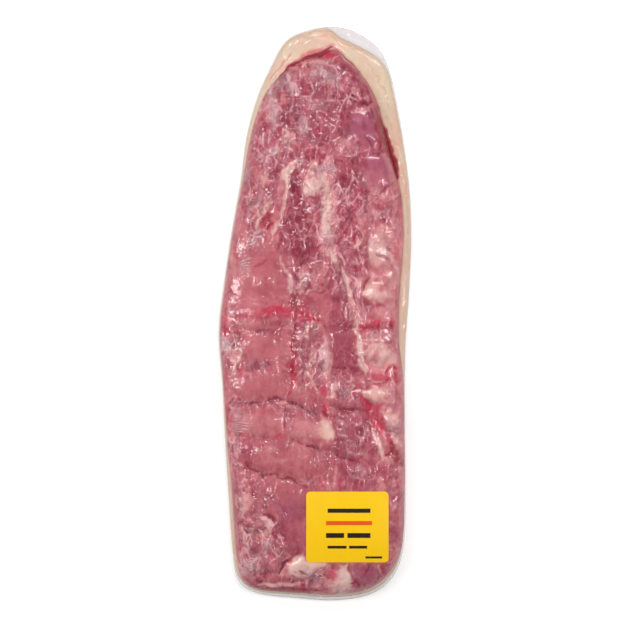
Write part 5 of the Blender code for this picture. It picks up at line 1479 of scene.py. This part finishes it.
class RACK_OT_fat_layer(bpy.types.Operator):
    """Builds the cream fat layer that the rack lies on"""
    bl_idname = "rack.fat_layer"
    bl_label = "Fat layer"

    def execute(self, context):
        maps = maps_for(context.scene)
        seam = context.scene.rack_sizes.seam_height / MM
        walls = rounded_walls(seam, 0.3)
        piece, plan = grid_piece("fat_layer", FAT, 330, 116, maps["fat_top"], walls)
        store_colour(piece.data, "tissue", sampled(maps["fat_colour"], plan))
        piece.data.materials.append(wet_tissue("fat", 0.03, 0.38, 0.2))
        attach(piece, "root")
        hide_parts("sealed_bag")
        return {"FINISHED"}


class RACK_OT_meat(bpy.types.Operator):
    """Builds the rack of ribs, bone side up"""
    bl_idname = "rack.meat"
    bl_label = "Rack of ribs"

    def execute(self, context):
        maps = maps_for(context.scene)
        piece, plan = grid_piece("rack_meat", MEAT, 520, 172, maps["meat_height"], [(4.0, 7.0)])
        store_colour(piece.data, "tissue", sampled(maps["meat_colour"], plan))
        store_value(piece.data, "stringy", sampled(maps["restless"], plan))
        store_value(piece.data, "pleat", sampled(maps["wrinkle_count"], plan))
        store_value(piece.data, "pleated", sampled(maps["wrinkle_depth"], plan))
        piece.data.materials.append(wet_tissue("meat", 0.035, 0.40, 0.3))
        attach(piece, "root")
        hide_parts("sealed_bag")
        return {"FINISHED"}


class RACK_OT_film(bpy.types.Operator):
    """Builds the clear film drawn tight on the rack, with its folds and wrinkles"""
    bl_idname = "rack.film"
    bl_label = "Clear film"

    def execute(self, context):
        sizes = context.scene.rack_sizes
        seam = sizes.seam_height / MM
        film = film_maps(maps_for(context.scene), seam, sizes.film_gap / MM, sizes.tightness)
        walls = rounded_walls(seam, 0.0)
        piece, plan = grid_piece("film", BAG, 514, 170, film["height"], walls, within=FAT)
        for name in ("veil", "crumpled", "pleat", "pleated"):
            store_value(piece.data, name, sampled(film[name], plan))
        piece.data.materials.append(clear_film())
        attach(piece, "root")
        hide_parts("sealed_bag")
        return {"FINISHED"}


class RACK_OT_label(bpy.types.Operator):
    """Builds the yellow label stuck on the film"""
    bl_idname = "rack.label"
    bl_label = "Label"

    def execute(self, context):
        low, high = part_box("label")
        deselect_all()
        bpy.ops.mesh.primitive_cube_add(size=1.0)
        piece = context.active_object
        piece.name = piece.data.name = "pack_label"
        co = positions(piece.data) + 0.5
        set_positions(piece.data, np.array(low) + co * (np.array(high) - np.array(low)))
        bpy.ops.object.mode_set(mode="EDIT")
        bpy.ops.mesh.select_mode(type="EDGE")
        bpy.ops.mesh.select_all(action="DESELECT")
        bpy.ops.object.mode_set(mode="OBJECT")
        for edge in piece.data.edges:
            a, b = (piece.data.vertices[v].co for v in edge.vertices)
            edge.select = abs(a.z - b.z) > 1e-6
        bpy.ops.object.mode_set(mode="EDIT")
        bpy.ops.mesh.bevel(offset=LABEL_CORNER * MM, segments=8, affect="EDGES")
        bpy.ops.mesh.select_all(action="DESELECT")
        bpy.ops.object.mode_set(mode="OBJECT")
        for edge in piece.data.edges:
            a, b = (piece.data.vertices[v].co for v in edge.vertices)
            edge.select = min(a.z, b.z) > high.z - 1e-6
        bpy.ops.object.mode_set(mode="EDIT")
        bpy.ops.mesh.bevel(offset=0.0001, segments=2, affect="EDGES")
        bpy.ops.mesh.select_all(action="SELECT")
        bpy.ops.mesh.normals_make_consistent(inside=False)
        bpy.ops.object.mode_set(mode="OBJECT")
        bpy.ops.object.shade_smooth_by_angle(angle=math.radians(30))
        piece.data.materials.append(printed_label(context.scene.label_colours, low, high))
        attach(piece, "root")
        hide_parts("label")
        return {"FINISHED"}


# Softboxes: name, way round from +Y and tilt off the zenith in degrees, size across and along, radiance.
SOFTBOXES = [
    ("softbox_left", 90, 46, 0.11, 0.95, 15.0),
    ("softbox_right", -90, 38, 0.10, 0.95, 15.0),
    ("softbox_end", 0, 40, 0.80, 0.10, 15.0),
]
SOFTBOX_DISTANCE = 1.1
WORLD_LIGHT = 0.38
FLOOR_GLOW = 0.34            # added to the floor's own white where the camera sees it
CAMERA_LENS = 135.0
FRAME_WIDTH = 0.535          # of the floor, seen at the pack's mid height
FRAME_MIDDLE = (0.0, -0.0013)


class RACK_OT_stage(bpy.types.Operator):
    """Sets up the pale floor, the lights and the camera straight above"""
    bl_idname = "rack.stage"
    bl_label = "Stage"

    def execute(self, context):
        scene = context.scene
        deselect_all()
        bpy.ops.mesh.primitive_plane_add(size=6.0, location=(0, 0, 0))
        floor = context.active_object
        floor.name = "floor"
        material, tree, output = new_material("floor_white")
        path = node(tree, "ShaderNodeLightPath").outputs
        seen = calculated(tree, "MAXIMUM", path["Is Camera Ray"], path["Is Glossy Ray"])
        seen = calculated(tree, "MAXIMUM", seen, path["Is Transmission Ray"])
        glow = calculated(tree, "MULTIPLY", seen, FLOOR_GLOW)
        matt = node(tree, "ShaderNodeBsdfDiffuse", {"Color": (0.8, 0.8, 0.8, 1)})
        white = node(tree, "ShaderNodeEmission", {"Color": (1, 1, 1, 1), "Strength": glow})
        both = node(tree, "ShaderNodeAddShader", {0: matt.outputs[0], 1: white.outputs[0]})
        tree.links.new(both.outputs[0], output.inputs["Surface"])
        floor.data.materials.append(material)

        low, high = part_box("sealed_bag")
        middle = (low + high) / 2
        for name, round_, tilt, across, along, radiance in SOFTBOXES:
            light = bpy.data.lights.new(name, "AREA")
            light.shape = "RECTANGLE"
            light.size, light.size_y = across, along
            light.energy = radiance * math.pi * across * along
            lamp = bpy.data.objects.new(name, light)
            scene.collection.objects.link(lamp)
            a, t = math.radians(round_), math.radians(tilt)
            away = Vector((-math.sin(a) * math.sin(t), math.cos(a) * math.sin(t), math.cos(t)))
            lamp.location = middle + away * SOFTBOX_DISTANCE
            lamp.rotation_euler = aim(away)
        world = bpy.data.worlds.new("room")
        world.use_nodes = True
        world.node_tree.nodes["Background"].inputs["Color"].default_value = (1, 1, 1, 1)
        world.node_tree.nodes["Background"].inputs["Strength"].default_value = WORLD_LIGHT
        scene.world = world

        data = bpy.data.cameras.new("camera")
        data.lens = CAMERA_LENS
        data.clip_start, data.clip_end = 0.05, 20.0
        camera = bpy.data.objects.new("camera", data)
        scene.collection.objects.link(camera)
        distance = FRAME_WIDTH * CAMERA_LENS / data.sensor_width
        camera.location = (FRAME_MIDDLE[0], FRAME_MIDDLE[1], middle.z + distance)
        scene.camera = camera
        scene.view_settings.view_transform = "Standard"
        return {"FINISHED"}


def aim(away):
    """Rotation of a lamp that stands that way off and looks back."""
    return away.to_track_quat("Z", "Y").to_euler()


class RACK_PT_panel(bpy.types.Panel):
    """Lists the rack's pieces, sizes and colours"""
    bl_idname = "RACK_PT_panel"
    bl_label = "Rack of ribs"
    bl_space_type = "VIEW_3D"
    bl_region_type = "UI"
    bl_category = "Rack of ribs"

    def draw(self, context):
        scene = context.scene
        for group in (scene.rack_sizes, scene.tissue_colours, scene.label_colours):
            box = self.layout.box()
            for name in type(group).__annotations__:
                box.prop(group, name)
        for operator in BUILDERS:
            self.layout.operator(operator.bl_idname)


BUILDERS = (RACK_OT_fat_layer, RACK_OT_meat, RACK_OT_film, RACK_OT_label, RACK_OT_stage)
CLASSES = (RackSizes, TissueColours, LabelColours, *BUILDERS, RACK_PT_panel)


def register():
    for made in CLASSES:
        bpy.utils.register_class(made)
    bpy.types.Scene.rack_sizes = PointerProperty(type=RackSizes)
    bpy.types.Scene.tissue_colours = PointerProperty(type=TissueColours)
    bpy.types.Scene.label_colours = PointerProperty(type=LabelColours)


def unregister():
    del bpy.types.Scene.rack_sizes
    del bpy.types.Scene.tissue_colours
    del bpy.types.Scene.label_colours
    for made in reversed(CLASSES):
        bpy.utils.unregister_class(made)


def main():
    """Builds every piece and the stage."""
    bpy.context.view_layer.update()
    register()
    bpy.ops.rack.fat_layer()
    bpy.ops.rack.meat()
    bpy.ops.rack.film()
    bpy.ops.rack.label()
    bpy.ops.rack.stage()


if __name__ == "__main__":
    main()
